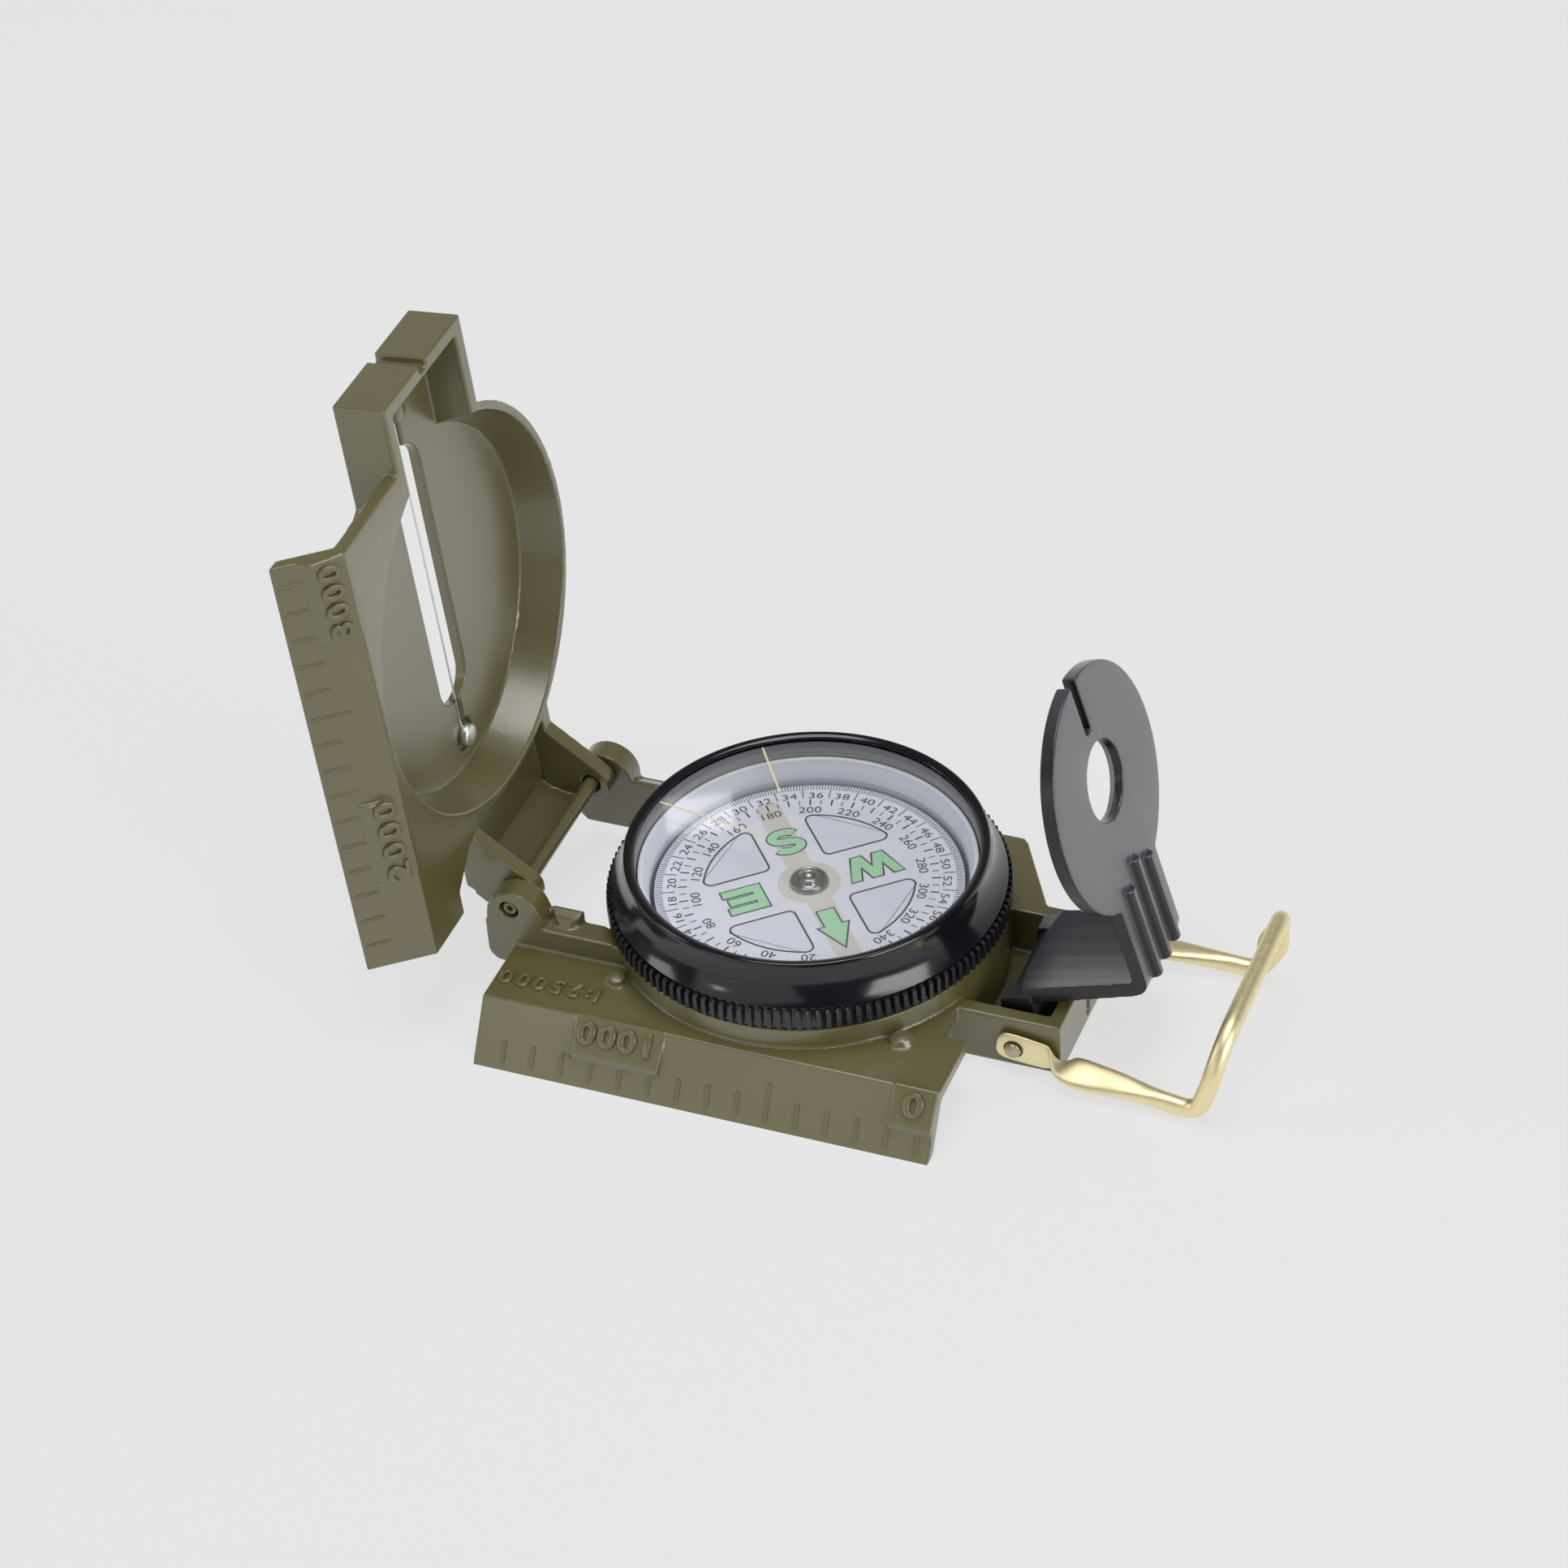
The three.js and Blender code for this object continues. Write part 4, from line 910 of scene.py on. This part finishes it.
# Letters: stroke width of the printed outline, its edge round the paint, and how far the S runs on, in
# degrees for each millimetre that its stroke is wider than the paint
LETTER_LINE = 1.62
LETTER_EDGE = 0.2
S_RUN_ON = 10.0
S_START = 25
S_SWEEP = 245
S_STEPS = 32
E_ARM_CUT = 0.45
W_LINE = 1.05
ARROW = [(5.8, -1.3), (9.0, -1.3), (9.0, -2.3), (14.1, 0.0), (9.0, 2.3), (9.0, 1.3), (5.8, 1.3)]
ARROW_PAINT = [(6.0, -1.1), (9.2, -1.1), (9.2, -1.97), (13.6, 0.0), (9.2, 1.97), (9.2, 1.1), (6.0, 1.1)]


def stroke(path, half):
    """The outline of an even line through a path, with mitred corners."""
    spots = [Vector(spot) for spot in path]
    left, right = [], []
    for i, spot in enumerate(spots):
        back = (spot - spots[max(i - 1, 0)]).normalized()
        ahead = (spots[min(i + 1, len(spots) - 1)] - spot).normalized()
        run = (back + ahead).normalized()
        beside = Vector((-run.y, run.x))
        left.append(tuple(spot + beside * half))
        right.append(tuple(spot - beside * half))
    return left + right[::-1]


def letter_s(width, height, line):
    """The letter S as an outline; the ends of a wider stroke run on past those of the paint."""
    side = (width - line) / 2
    bowl = (height - line) / 4
    past = S_RUN_ON * (line - LETTER_LINE + 2 * LETTER_EDGE)
    path = []
    for k in range(S_STEPS + 1):
        angle = math.radians(S_START - past + (S_SWEEP + past) * k / S_STEPS)
        path.append((side * math.cos(angle), bowl + bowl * math.sin(angle)))
    path += [(-x, -y) for x, y in reversed(path[:-1])]
    return stroke(path, line / 2)


def letter_e(width, height, line):
    """The letter E as an outline; its middle arm is a little shorter."""
    x, y, arm = width / 2, height / 2, width / 2 - E_ARM_CUT
    half = line / 2
    return [
        (-x, -y), (x, -y), (x, line - y), (line - x, line - y), (line - x, -half), (arm, -half),
        (arm, half), (line - x, half), (line - x, y - line), (x, y - line), (x, y), (-x, y),
    ]


def letter_w(width, height, line):
    """The letter W as an outline of four slanted strokes."""
    cut = line * W_LINE
    x, y, q = width / 2, height / 2, (width - cut) / 4
    notch = height * cut / (2 * q)
    half = cut / 2
    return [
        (-x, y), (-q - half, -y), (half - q, -y), (0, y - notch), (q - half, -y), (q + half, -y),
        (x, y), (x - cut, y), (q, notch - y), (half, y), (-half, y), (-q, notch - y), (cut - x, y),
    ]


# Each letter: shape, bearing, radius, width and height
LETTERS = ((letter_s, 180, 8.9, 4.9, 5.5), (letter_e, 90, 8.7, 5.6, 5.1), (letter_w, 270, 8.6, 7.5, 5.0))


class COMPASS_OT_card(bpy.types.Operator):
    """Dial card with its printed marks, magnet strip and cap"""
    bl_idname = "compass.card"
    bl_label = "Dial card"

    def execute(self, context):
        looks = context.scene.compass_card
        # Die-cut card in white styrene sheet, satin and slightly blue under the glass
        board = made("white styrene sheet", moulded, looks.board, 0.4, 0.55, 800.0, 0.03)
        # Screen-printed ink: soft black, thin and dull
        ink = made("screen-printed black ink", moulded, looks.ink, 0.5, 0.65, 1000.0, 0.02)
        # Luminous paint: grainy pale green
        glow = made("green luminous paint", moulded, looks.glow, 0.6, 0.8, 2500.0, 0.25)
        # Bare beige underprint where the strip shows
        beige = made("beige underprint", moulded, looks.strip, 0.45, 0.6, 900.0, 0.03)
        # Moulded fields, a shade lighter and smoother than the card
        field = made("smooth styrene field", moulded, linear("#e2e6f2"), 0.25, 0.35, 900.0, 0.01)
        piece("card_board", turned(rounded(BOARD)), board, "card", "white_plastic", "card_disc")
        piece("card_strip", self.strip(looks), beige, "card", "white_plastic")
        self.fields(looks, ink, field)
        piece("card_ticks", self.ticks(looks, ink), ink, "card", "white_plastic")
        piece("card_figures", self.figures(looks), ink, "card", "white_plastic")
        self.letters(looks, ink, glow)
        carry_over("magnet_bar", made("magnet steel", metal, linear("#a8a49c"), 0.3, 0.45, 700.0))
        # Turned steel, left as it came from the lathe: greyer than the pegs
        lathed = made("turned steel", metal, linear("#b4b3b1"), 0.26, 0.4, 1200.0)
        piece("jewel_cap_turned", turned(CAP, MIDDLE_TURN), lathed, "card", "steel", "jewel_cap", smooth=60)
        return {"FINISHED"}

    def place(self, looks, bearing, radius, up=None):
        """A flat place on the card at a bearing and radius; figures stand with their heads outwards."""
        angle = looks.north - math.radians(bearing)
        turn = angle if up is None else up
        spot = moved(radius * math.cos(angle), radius * math.sin(angle), CARD_TOP)
        return spot @ spun(turn - QUARTER, "Z")

    def strip(self, looks):
        """The bare strip from south to north, with a round hub and its corners cut."""
        half, reach = STRIP_HALF, STRIP_REACH
        south = [(-reach, 1.3 - half), (0.4 - reach, 0.5 - half), (1.2 - reach, -half)]
        north = [(reach - 0.9, -half), (reach, 0.9 - half)]
        sweep = QUARTER - math.asin(half / STRIP_HUB)
        turns = [sweep * k / 12 - QUARTER for k in range(-12, 13)]
        hub = [(STRIP_HUB * math.cos(turn), STRIP_HUB * math.sin(turn)) for turn in turns]
        lower = [*south, *hub, *north]
        outline = lower + [(x, -y) for x, y in reversed(lower)]
        return placed(slab(outline, CARD_TOP - PRINT_SUNK, CARD_TOP + STRIP_THICK), spun(looks.north, "Z"))

    def fields(self, looks, ink, field):
        """Four smooth sector fields with a printed outline."""
        outlines, fills = [], []
        for quarter in range(4):
            along, across = (FIELD_FAR, FIELD_NEAR) if quarter % 2 == 0 else (FIELD_NEAR, FIELD_FAR)
            first = math.asin(across / FIELD_OUT)
            last = math.acos(along / FIELD_OUT)
            arc = []
            for k in range(FIELD_STEPS + 1):
                angle = first + (last - first) * k / FIELD_STEPS
                radius = FIELD_ROUND if k in (0, FIELD_STEPS) else 0.0
                arc.append((FIELD_OUT * math.cos(angle), FIELD_OUT * math.sin(angle), radius))
            outline = rounded([(along, across, FIELD_INNER_ROUND), *arc])
            turn = spun(looks.north + quarter * QUARTER, "Z")
            fills.append(placed(slab(outline, CARD_TOP - PRINT_SUNK, CARD_TOP + FIELD_THICK), turn))
            outlines.append(placed(border(outline, FIELD_LINE, CARD_TOP, CARD_TOP + LINE_THICK), turn))
        piece("card_fields", joined(fills), field, "card", "white_plastic")
        piece("card_field_outlines", joined(outlines), ink, "card", "white_plastic")

    def ticks(self, looks, ink):
        """Mil ticks at the card's edge and degree ticks inside their figures."""
        meshes = []
        for count, inner, outer, width, first in TICK_RINGS:
            mesh = grown(blocks_round_a_circle, {
                "Count": count, "Radius": (inner + outer) / 2, "Easing": 0, "Material": ink,
                "First Angle": looks.north + math.radians(first),
                "Block": (outer - inner, width, TICK_THICK)})
            meshes.append(placed(mesh, moved(z=CARD_TOP + TICK_RISE)))
        return joined(meshes)

    def figures(self, looks):
        """Degree figures every 20 degrees and mil figures every 200 mils."""
        degrees = [(str(bearing), bearing, *DEGREE_FIGURES) for bearing in range(20, 360, 20)]
        mils = [(str(hundreds), hundreds * MIL_STEP, *MIL_FIGURES) for hundreds in range(2, 66, 2)]
        meshes = []
        for text, bearing, radius, height, stretch in degrees + mils:
            meshes.append(placed(lettering(text, height, stretch), self.place(looks, bearing, radius)))
        return placed(joined(meshes), moved(z=FIGURE_RISE))

    def letters(self, looks, ink, glow):
        """Luminous letters and the north arrow, each with a printed outline."""
        edges, fills = [], []
        for shape, bearing, radius, width, height in LETTERS:
            spot = self.place(looks, bearing, radius, looks.north)
            for meshes, inset, rise in ((edges, 0.0, LINE_THICK), (fills, 2 * LETTER_EDGE, PAINT_THICK)):
                outline = shape(width - inset, height - inset, LETTER_LINE - inset)
                meshes.append(placed(slab(outline, 0, rise), spot))
        turn = spun(looks.north, "Z")
        for meshes, outline, rise in ((edges, ARROW, LINE_THICK), (fills, ARROW_PAINT, PAINT_THICK)):
            meshes.append(placed(slab(outline, CARD_TOP, CARD_TOP + rise + ARROW_OVER), turn))
        piece("card_letter_outlines", joined(edges), ink, "card", "white_plastic")
        piece("card_letters", joined(fills), glow, "card", "white_plastic")


# Lens bracket

# The disc in the bracket's frame: a ring that rounds its edge, as (radius, X), open at the sighting slit
DISC_RING = [(15.0, 16.25), (15.74, 16.25), (15.74, 18.15), (15.0, 18.15)]
DISC_UP = 31.24
SLIT_END = 93
SLIT_SWEEP = 354
EDGE_STEPS = 200
BRACKET_ROUNDS = 3
BRACKET_SHARE = 0.3
LENS_RADIUS = 4.9
LENS_EDGE = 0.35
LENS_BULGE = 0.35
LENS_MIDDLE = (17.2, 0, 32.3)


class COMPASS_OT_bracket(bpy.types.Operator):
    """Lens bracket with its lens"""
    bl_idname = "compass.bracket"
    bl_label = "Lens bracket"

    def execute(self, context):
        sizes = context.scene.compass_bracket
        # Moulded nylon: near black, with a satin coat on its broad faces and painted shade on the faces along
        # Y
        nylon = made("black moulded nylon", moulded, sizes.nylon, 0.26, 0.36, 1800.0, 0.06)
        self.polish(nylon)
        skin = cast_skin(
            "lens_bracket", BRACKET_FRAME, sizes.skin, BRACKET_ROUNDS, BRACKET_SHARE, [self.edge()])
        piece("bracket_moulding", skin, nylon, "bracket", "grey_plastic", "lens_bracket", smooth=0)
        shares = [k / 8 for k in range(9)]
        face = [(LENS_RADIUS * t, LENS_EDGE + LENS_BULGE * (1 - t ** 2)) for t in shares]
        lens = turned([*((r, -z) for r, z in face), *reversed(face)], MIDDLE_TURN)
        lens = placed(lens, BRACKET_FRAME @ moved(*LENS_MIDDLE) @ spun(QUARTER, "Y"))
        piece("lens_pane", lens, acrylic(), "bracket", "clear_window", "lens")
        return {"FINISHED"}

    def polish(self, nylon):
        """Keeps the satin coat to the broad faces, and paints shade into the colour of the edges and ribs
        that face along Y.
        """
        tree = nylon.node_tree
        shader = tree.nodes["Principled BSDF"]
        tone = shader.inputs["Base Color"].links[0].from_socket
        normal = add(tree, "ShaderNodeTexCoord").outputs["Normal"]
        across = add(tree, "ShaderNodeVectorMath", {0: normal, 1: (0, 1, 0)}, operation="DOT_PRODUCT")
        sideways = sum_of(tree, "ABSOLUTE", across.outputs["Value"])
        broad = ramp(tree, sideways, 1.0, 0.0, 0.25, 0.75)
        # Painted shade: faces that look along Y are darkened towards near black
        tree.links.new(blend(tree, broad, linear("#0c0c10"), tone), shader.inputs["Base Color"])
        tree.links.new(broad, shader.inputs["Coat Weight"])
        shader.inputs["Coat Roughness"].default_value = 0.36

    def edge(self):
        """The round edge of the disc, open at the sighting slit."""
        rows = []
        for i in range(EDGE_STEPS + 1):
            angle = math.radians(SLIT_END + SLIT_SWEEP * i / EDGE_STEPS)
            rows.append([(x, r * math.cos(angle), DISC_UP + r * math.sin(angle)) for r, x in DISC_RING])
        return lofted(rows)


# Thumb loop

LOOP_WIRE = 1.25
BAR_X = 26.46
BAR_UP = 11.43
LEG_LIFT = 0.35
KNEE_R = 2.5
KNEE_X = 25.2
POST_Y = 13.9
POST_LEAN = 0.11

# Each leg: bend into the bar, half width and thickness of its post, lean of its blade, twists up to the bar
NEAR_LEG = (6.5, (LOOP_WIRE, LOOP_WIRE), 22.0, [90.0] * 7)
FAR_LEG = (2.8, (2.1, 0.65), 0.0, [75.0, 60.0, 45.0, 32.0, 20.0, 10.0, 0.0])
TAB = [
    (-2.3, 0.9), (-2.15, 1.5), (-1.7, 1.95), (-1.0, 2.15), (0.0, 2.2), (2.0, 2.15), (3.6, 2.05), (4.4, 2.0),
]
TAB_Y = 11.9

SHANK_HALF = 12.4
SHANK_RADIUS = 0.8
HEAD = [(0, 0), (0.95, 0), (1.05, 0.08), (1.0, 0.25), (0.75, 0.38), (0, 0.42)]
HEAD_Y = 12.58
# Painted shadow ring round the rivet: its section, and its place across the loop
HOLE_SHADOW = [(1.05, 0), (1.3, 0), (1.3, 0.02), (1.05, 0.02)]
HOLE_SHADOW_Y = 12.29


class COMPASS_OT_loop(bpy.types.Operator):
    """Brass thumb loop with its flattened legs, and the pin that holds it"""
    bl_idname = "compass.loop"
    bl_label = "Thumb loop"

    def execute(self, context):
        looks = context.scene.compass_loop
        # Rolled brass wire: warm and bright, with soft drawing marks along it
        brass = made("rolled yellow brass", metal, looks.brass, 0.36, 0.55, 900.0)
        # Painted shadow: a thin dark ring round each rivet head stands for the shade in the gap between the
        # rivet and its hole, which the tab doesn't have
        gap_shadow = made("tarnished brass", metal, linear("#6a5428"), 0.45, 0.6, 1500.0)
        # Peened rivet: the same brass, grey and scuffed from hammering
        peened = made("peened dull brass", metal, linear("#b9b09a"), 0.35, 0.55, 1500.0)
        near = self.leg(looks, -1, *NEAR_LEG)
        far = self.leg(looks, 1, *FAR_LEG)
        bar = [(BAR_X, 2.2 * k - 5.0, BAR_UP, LOOP_WIRE, LOOP_WIRE, 90.0 - 15.0 * k) for k in range(1, 6)]
        wire = placed(self.swept(near + bar + far[::-1]), LOOP_FRAME)
        piece("thumb_loop_wire", wire, brass, "loop", "brass", "thumb_loop", smooth=50)
        to_pin = moved(*LENS_PIN)
        ends = [(LENS_PIN.x, side * SHANK_HALF, LENS_PIN.z) for side in (-1, 1)]
        rivet, hole_shadows = [rod(*ends, SHANK_RADIUS, 0.1)], []
        for side in (-1, 1):
            outwards = spun(-side * QUARTER, "X")
            at_head = to_pin @ moved(0, side * HEAD_Y) @ outwards
            at_hole_shadow = LOOP_FRAME @ moved(0, side * HOLE_SHADOW_Y) @ outwards
            rivet.append(placed(turned(HEAD, SMALL_TURN), at_head))
            hole_shadows.append(placed(turned(HOLE_SHADOW, SMALL_TURN), at_hole_shadow))
        # Dark rings of painted shadow round the rivet heads
        piece("thumb_loop_painted_hole_shadows", joined(hole_shadows), gap_shadow, "loop", "brass")
        piece("lens_pin_riveted", joined(rivet), peened, "base", "brass", "lens_pin")
        return {"FINISHED"}

    def leg(self, looks, side, bend, post, lean, turn):
        """Stations of one leg, from its tab to the bar: place, half width, half thickness, twist."""
        blade, wire, lift = looks.blade, LOOP_WIRE, LEG_LIFT
        rows = [(x, TAB_Y, 0, half, 0.4, 0.0) for x, half in TAB]
        rows += [
            (5.2, 12.05, 0, 1.95, 0.45, 20.0),
            (5.9, 12.35, 0, 1.9, 0.5, 48.0),
            (6.6, 12.75, 0, blade, 0.55, 72.0 + lean * 0.3),
            (7.5, 13.05, 0, blade, 0.6, 86.0 + lean * 0.6),
            (9.0, 13.1, 0, blade * 0.98, 0.62, 90.0 + lean),
            (11.5, 13.15, 0, blade * 0.9, 0.66, 90.0 + lean),
            (14.5, 13.3, lift, blade * 0.76, 0.78, 90.0 + lean),
            (17.5, 13.5, lift, wire * 1.1, 0.92, 90.0 + lean * 0.5),
            (20.0, 13.7, lift, wire, wire, turn[0]),
            (22.4, 13.8, lift, wire, wire, turn[1]),
        ]
        for degrees, twist in zip((15, 30, 45, 60, 75), turn[2:]):
            angle = math.radians(degrees)
            along = KNEE_X - KNEE_R + KNEE_R * math.sin(angle) + 0.12 * degrees / 90
            rows.append((along, 13.88, lift + KNEE_R - KNEE_R * math.cos(angle), wire, wire, twist))
        foot, knee = BAR_UP - bend, lift + KNEE_R
        for share in (0.3, 0.6):
            up = knee + (foot - knee) * share
            rows.append((KNEE_X + POST_LEAN * share * foot, POST_Y, up, *post, turn[-1]))
        for degrees in range(0, 91, 15):
            angle = math.radians(degrees)
            up = foot + bend * math.sin(angle)
            y = POST_Y - bend * (1 - math.cos(angle))
            rows.append((KNEE_X + POST_LEAN * up, y, up, wire, wire, turn[-1]))
        return [(x, side * y, *rest) for x, y, *rest in rows]

    def swept(self, stations, around=16):
        """A skin through the stations' sections."""
        spots = [Vector(station[:3]) for station in stations]
        rows = []
        across = Vector((0, 0, 1))
        for i, (spot, (*_, wide, thin, twist)) in enumerate(zip(spots, stations)):
            ahead = (spots[min(i + 1, len(spots) - 1)] - spots[max(i - 1, 0)]).normalized()
            across = (across - ahead * across.dot(ahead)).normalized()
            beside = ahead.cross(across)
            turn = math.radians(twist)
            first = across * math.cos(turn) + beside * math.sin(turn)
            second = ahead.cross(first)
            power = 1.0 if wide == thin else 0.75
            row = []
            for k in range(around):
                angle = 2 * math.pi * k / around
                share = [math.copysign(abs(f(angle)) ** power, f(angle)) for f in (math.cos, math.sin)]
                row.append(spot + first * wide * share[0] + second * thin * share[1])
            rows.append(row)
        return evaluated(lofted(rows), ("SUBSURF", {"levels": 1, "render_levels": 1}))


# Stage

FLOOR_HALF = 4.0

# Each lamp: place and size in metres, and its share of the key lamp's power
LAMPS = {
    "key_top": ((0.0, 0.02, 0.86), (0.5, 0.5), 1.0),
    "fill_front": ((-0.25, -0.9, 0.35), (1.0, 0.7), 0.4),
    "side_right": ((0.8, -0.3, 0.42), (0.5, 0.42), 1.0),
    "side_left": ((-0.75, -0.3, 0.4), (0.3, 0.4), 0.32),
    "window_front": ((-0.5, -0.85, 0.45), (0.1, 0.1), 0.05),
    "window_glint": ((-0.513, 1.058, 0.962), (0.03, 0.015), 0.0011),
}

# The camera: angles round, up and about its own axis, distance back, shift to the left and up, and lens
CAMERA_ANGLES = (23.864, 38.717, -4.206)
CAMERA_AIM = Vector((-0.4, 0, 0))
CAMERA_BACK = 618.69
CAMERA_LEFT = 3.645
CAMERA_RISE = 22.919
CAMERA_LENS = 109.12


class COMPASS_OT_stage(bpy.types.Operator):
    """Pale floor, soft lamps and the camera"""
    bl_idname = "compass.stage"
    bl_label = "Stage"

    def execute(self, context):
        looks = context.scene.compass_stage
        self.floor(looks)
        self.world(context, looks)
        for name, (place, size, share) in LAMPS.items():
            self.lamp(name, place, size, looks.key * share)
        self.camera(context)
        context.scene.view_settings.view_transform = "Standard"
        return {"FINISHED"}

    def floor(self, looks):
        """A paper floor that takes the shadow, and looks like the backdrop to the camera and in mirrors."""
        corners = [(FLOOR_HALF * x, FLOOR_HALF * y, 0) for x, y in ((-1, -1), (1, -1), (1, 1), (-1, 1))]
        mesh = mesh_of(corners, [range(4)])
        material, tree, shader = new_material("pale paper floor")
        tree.nodes.remove(shader)
        path = add(tree, "ShaderNodeLightPath").outputs
        paper = add(tree, "ShaderNodeBsdfDiffuse", {"Color": linear("#e9e9e9")})
        lit = ramp(tree, path["Is Glossy Ray"], 1.0, 1.0 / looks.floor[0])
        even = add(tree, "ShaderNodeEmission", {"Color": looks.floor, "Strength": lit})
        flat = ramp(tree, path["Is Glossy Ray"], 0.85, 0.65)
        share = sum_of(tree, "MULTIPLY", self.looked_at(tree, path), flat)
        tree.links.new(mixed(tree, share, paper, even), tree.nodes["Material Output"].inputs["Surface"])
        mesh.materials.append(material)
        linked("floor", mesh)

    def looked_at(self, tree, path):
        """1 for rays from the camera and for what metal and glass mirror or let through."""
        mirrored = sum_of(tree, "MAXIMUM", path["Is Glossy Ray"], path["Is Transmission Ray"])
        return sum_of(tree, "MAXIMUM", path["Is Camera Ray"], mirrored)

    def world(self, context, looks):
        """A pale backdrop; mirrors see it go dusky overhead and towards the viewer."""
        world = bpy.data.worlds.new("studio")
        world.use_nodes = True
        tree = world.node_tree
        tree.nodes.clear()
        path = add(tree, "ShaderNodeLightPath").outputs
        ray = add(tree, "ShaderNodeTexCoord").outputs["Generated"]
        way = add(tree, "ShaderNodeSeparateXYZ", {0: ray}).outputs
        dusk = ramp(tree, way["Z"], 1.0, looks.fill, 0.05, 0.62)
        depth = ramp(tree, way["Y"], looks.fill, 1.0, -0.7, 0.1)
        room = sum_of(tree, "MULTIPLY", dusk, depth)
        even = sum_of(tree, "MAXIMUM", room, path["Is Camera Ray"])
        seen = add(tree, "ShaderNodeBackground", {"Color": looks.floor, "Strength": even})
        light = add(tree, "ShaderNodeBackground", {"Color": WHITE, "Strength": looks.fill})
        whole = mixed(tree, self.looked_at(tree, path), light, seen)
        add(tree, "ShaderNodeOutputWorld", {"Surface": whole})
        context.scene.world = world

    def lamp(self, name, place, size, power):
        """A soft rectangular lamp that faces the compass."""
        light = bpy.data.lights.new(name, "AREA")
        light.shape = "RECTANGLE"
        light.size, light.size_y = size
        light.energy = power
        lamp = linked(name, light)
        lamp.location = place
        lamp.rotation_euler = (-Vector(place)).to_track_quat("-Z", "Y").to_euler()

    def camera(self, context):
        """The camera, where the photograph was taken from."""
        around, up, roll = (math.radians(angle) for angle in CAMERA_ANGLES)
        back = Vector((math.sin(around) * math.cos(up), -math.cos(around) * math.cos(up), math.sin(up)))
        right = Vector((math.cos(around), math.sin(around), 0))
        above = back.cross(right)
        level = right * math.cos(roll) + above * math.sin(roll)
        upright = above * math.cos(roll) - right * math.sin(roll)
        centre = CAMERA_AIM + back * CAMERA_BACK - level * CAMERA_LEFT + upright * CAMERA_RISE
        data = bpy.data.cameras.new("camera")
        data.sensor_width = 36.0
        data.lens = CAMERA_LENS
        camera = linked("camera", data)
        camera.matrix_world = framed(centre * MM, level, upright, back)
        context.scene.camera = camera


GROUPS = {
    "compass_casting": CastingSettings,
    "compass_bezel": BezelSettings,
    "compass_card": CardSettings,
    "compass_bracket": BracketSettings,
    "compass_loop": LoopSettings,
    "compass_stage": StageSettings,
}
OPERATORS = (
    COMPASS_OT_stage,
    COMPASS_OT_base,
    COMPASS_OT_lid,
    COMPASS_OT_bezel,
    COMPASS_OT_capsule,
    COMPASS_OT_card,
    COMPASS_OT_bracket,
    COMPASS_OT_loop,
)


class COMPASS_PT_pieces(bpy.types.Panel):
    """Sizes, colours and makers of the compass's pieces"""
    bl_idname = "COMPASS_PT_pieces"
    bl_label = "Folding compass"
    bl_space_type = "VIEW_3D"
    bl_region_type = "UI"
    bl_category = "Compass"

    def draw(self, context):
        for name, group in GROUPS.items():
            box = self.layout.box()
            box.label(text=group.__doc__)
            for prop in group.__annotations__:
                box.prop(getattr(context.scene, name), prop)
        for operator in OPERATORS:
            self.layout.operator(operator.bl_idname)


def register():
    for group in GROUPS.values():
        bpy.utils.register_class(group)
    for name, group in GROUPS.items():
        setattr(bpy.types.Scene, name, PointerProperty(type=group))
    for operator in (*OPERATORS, COMPASS_PT_pieces):
        bpy.utils.register_class(operator)


def unregister():
    for operator in (COMPASS_PT_pieces, *OPERATORS):
        bpy.utils.unregister_class(operator)
    for name, group in GROUPS.items():
        delattr(bpy.types.Scene, name)
        bpy.utils.unregister_class(group)


def main():
    register()
    bpy.ops.compass.stage()
    bpy.ops.compass.base()
    bpy.ops.compass.lid()
    bpy.ops.compass.bezel()
    bpy.ops.compass.capsule()
    bpy.ops.compass.card()
    bpy.ops.compass.bracket()
    bpy.ops.compass.loop()


if __name__ == "__main__":
    main()
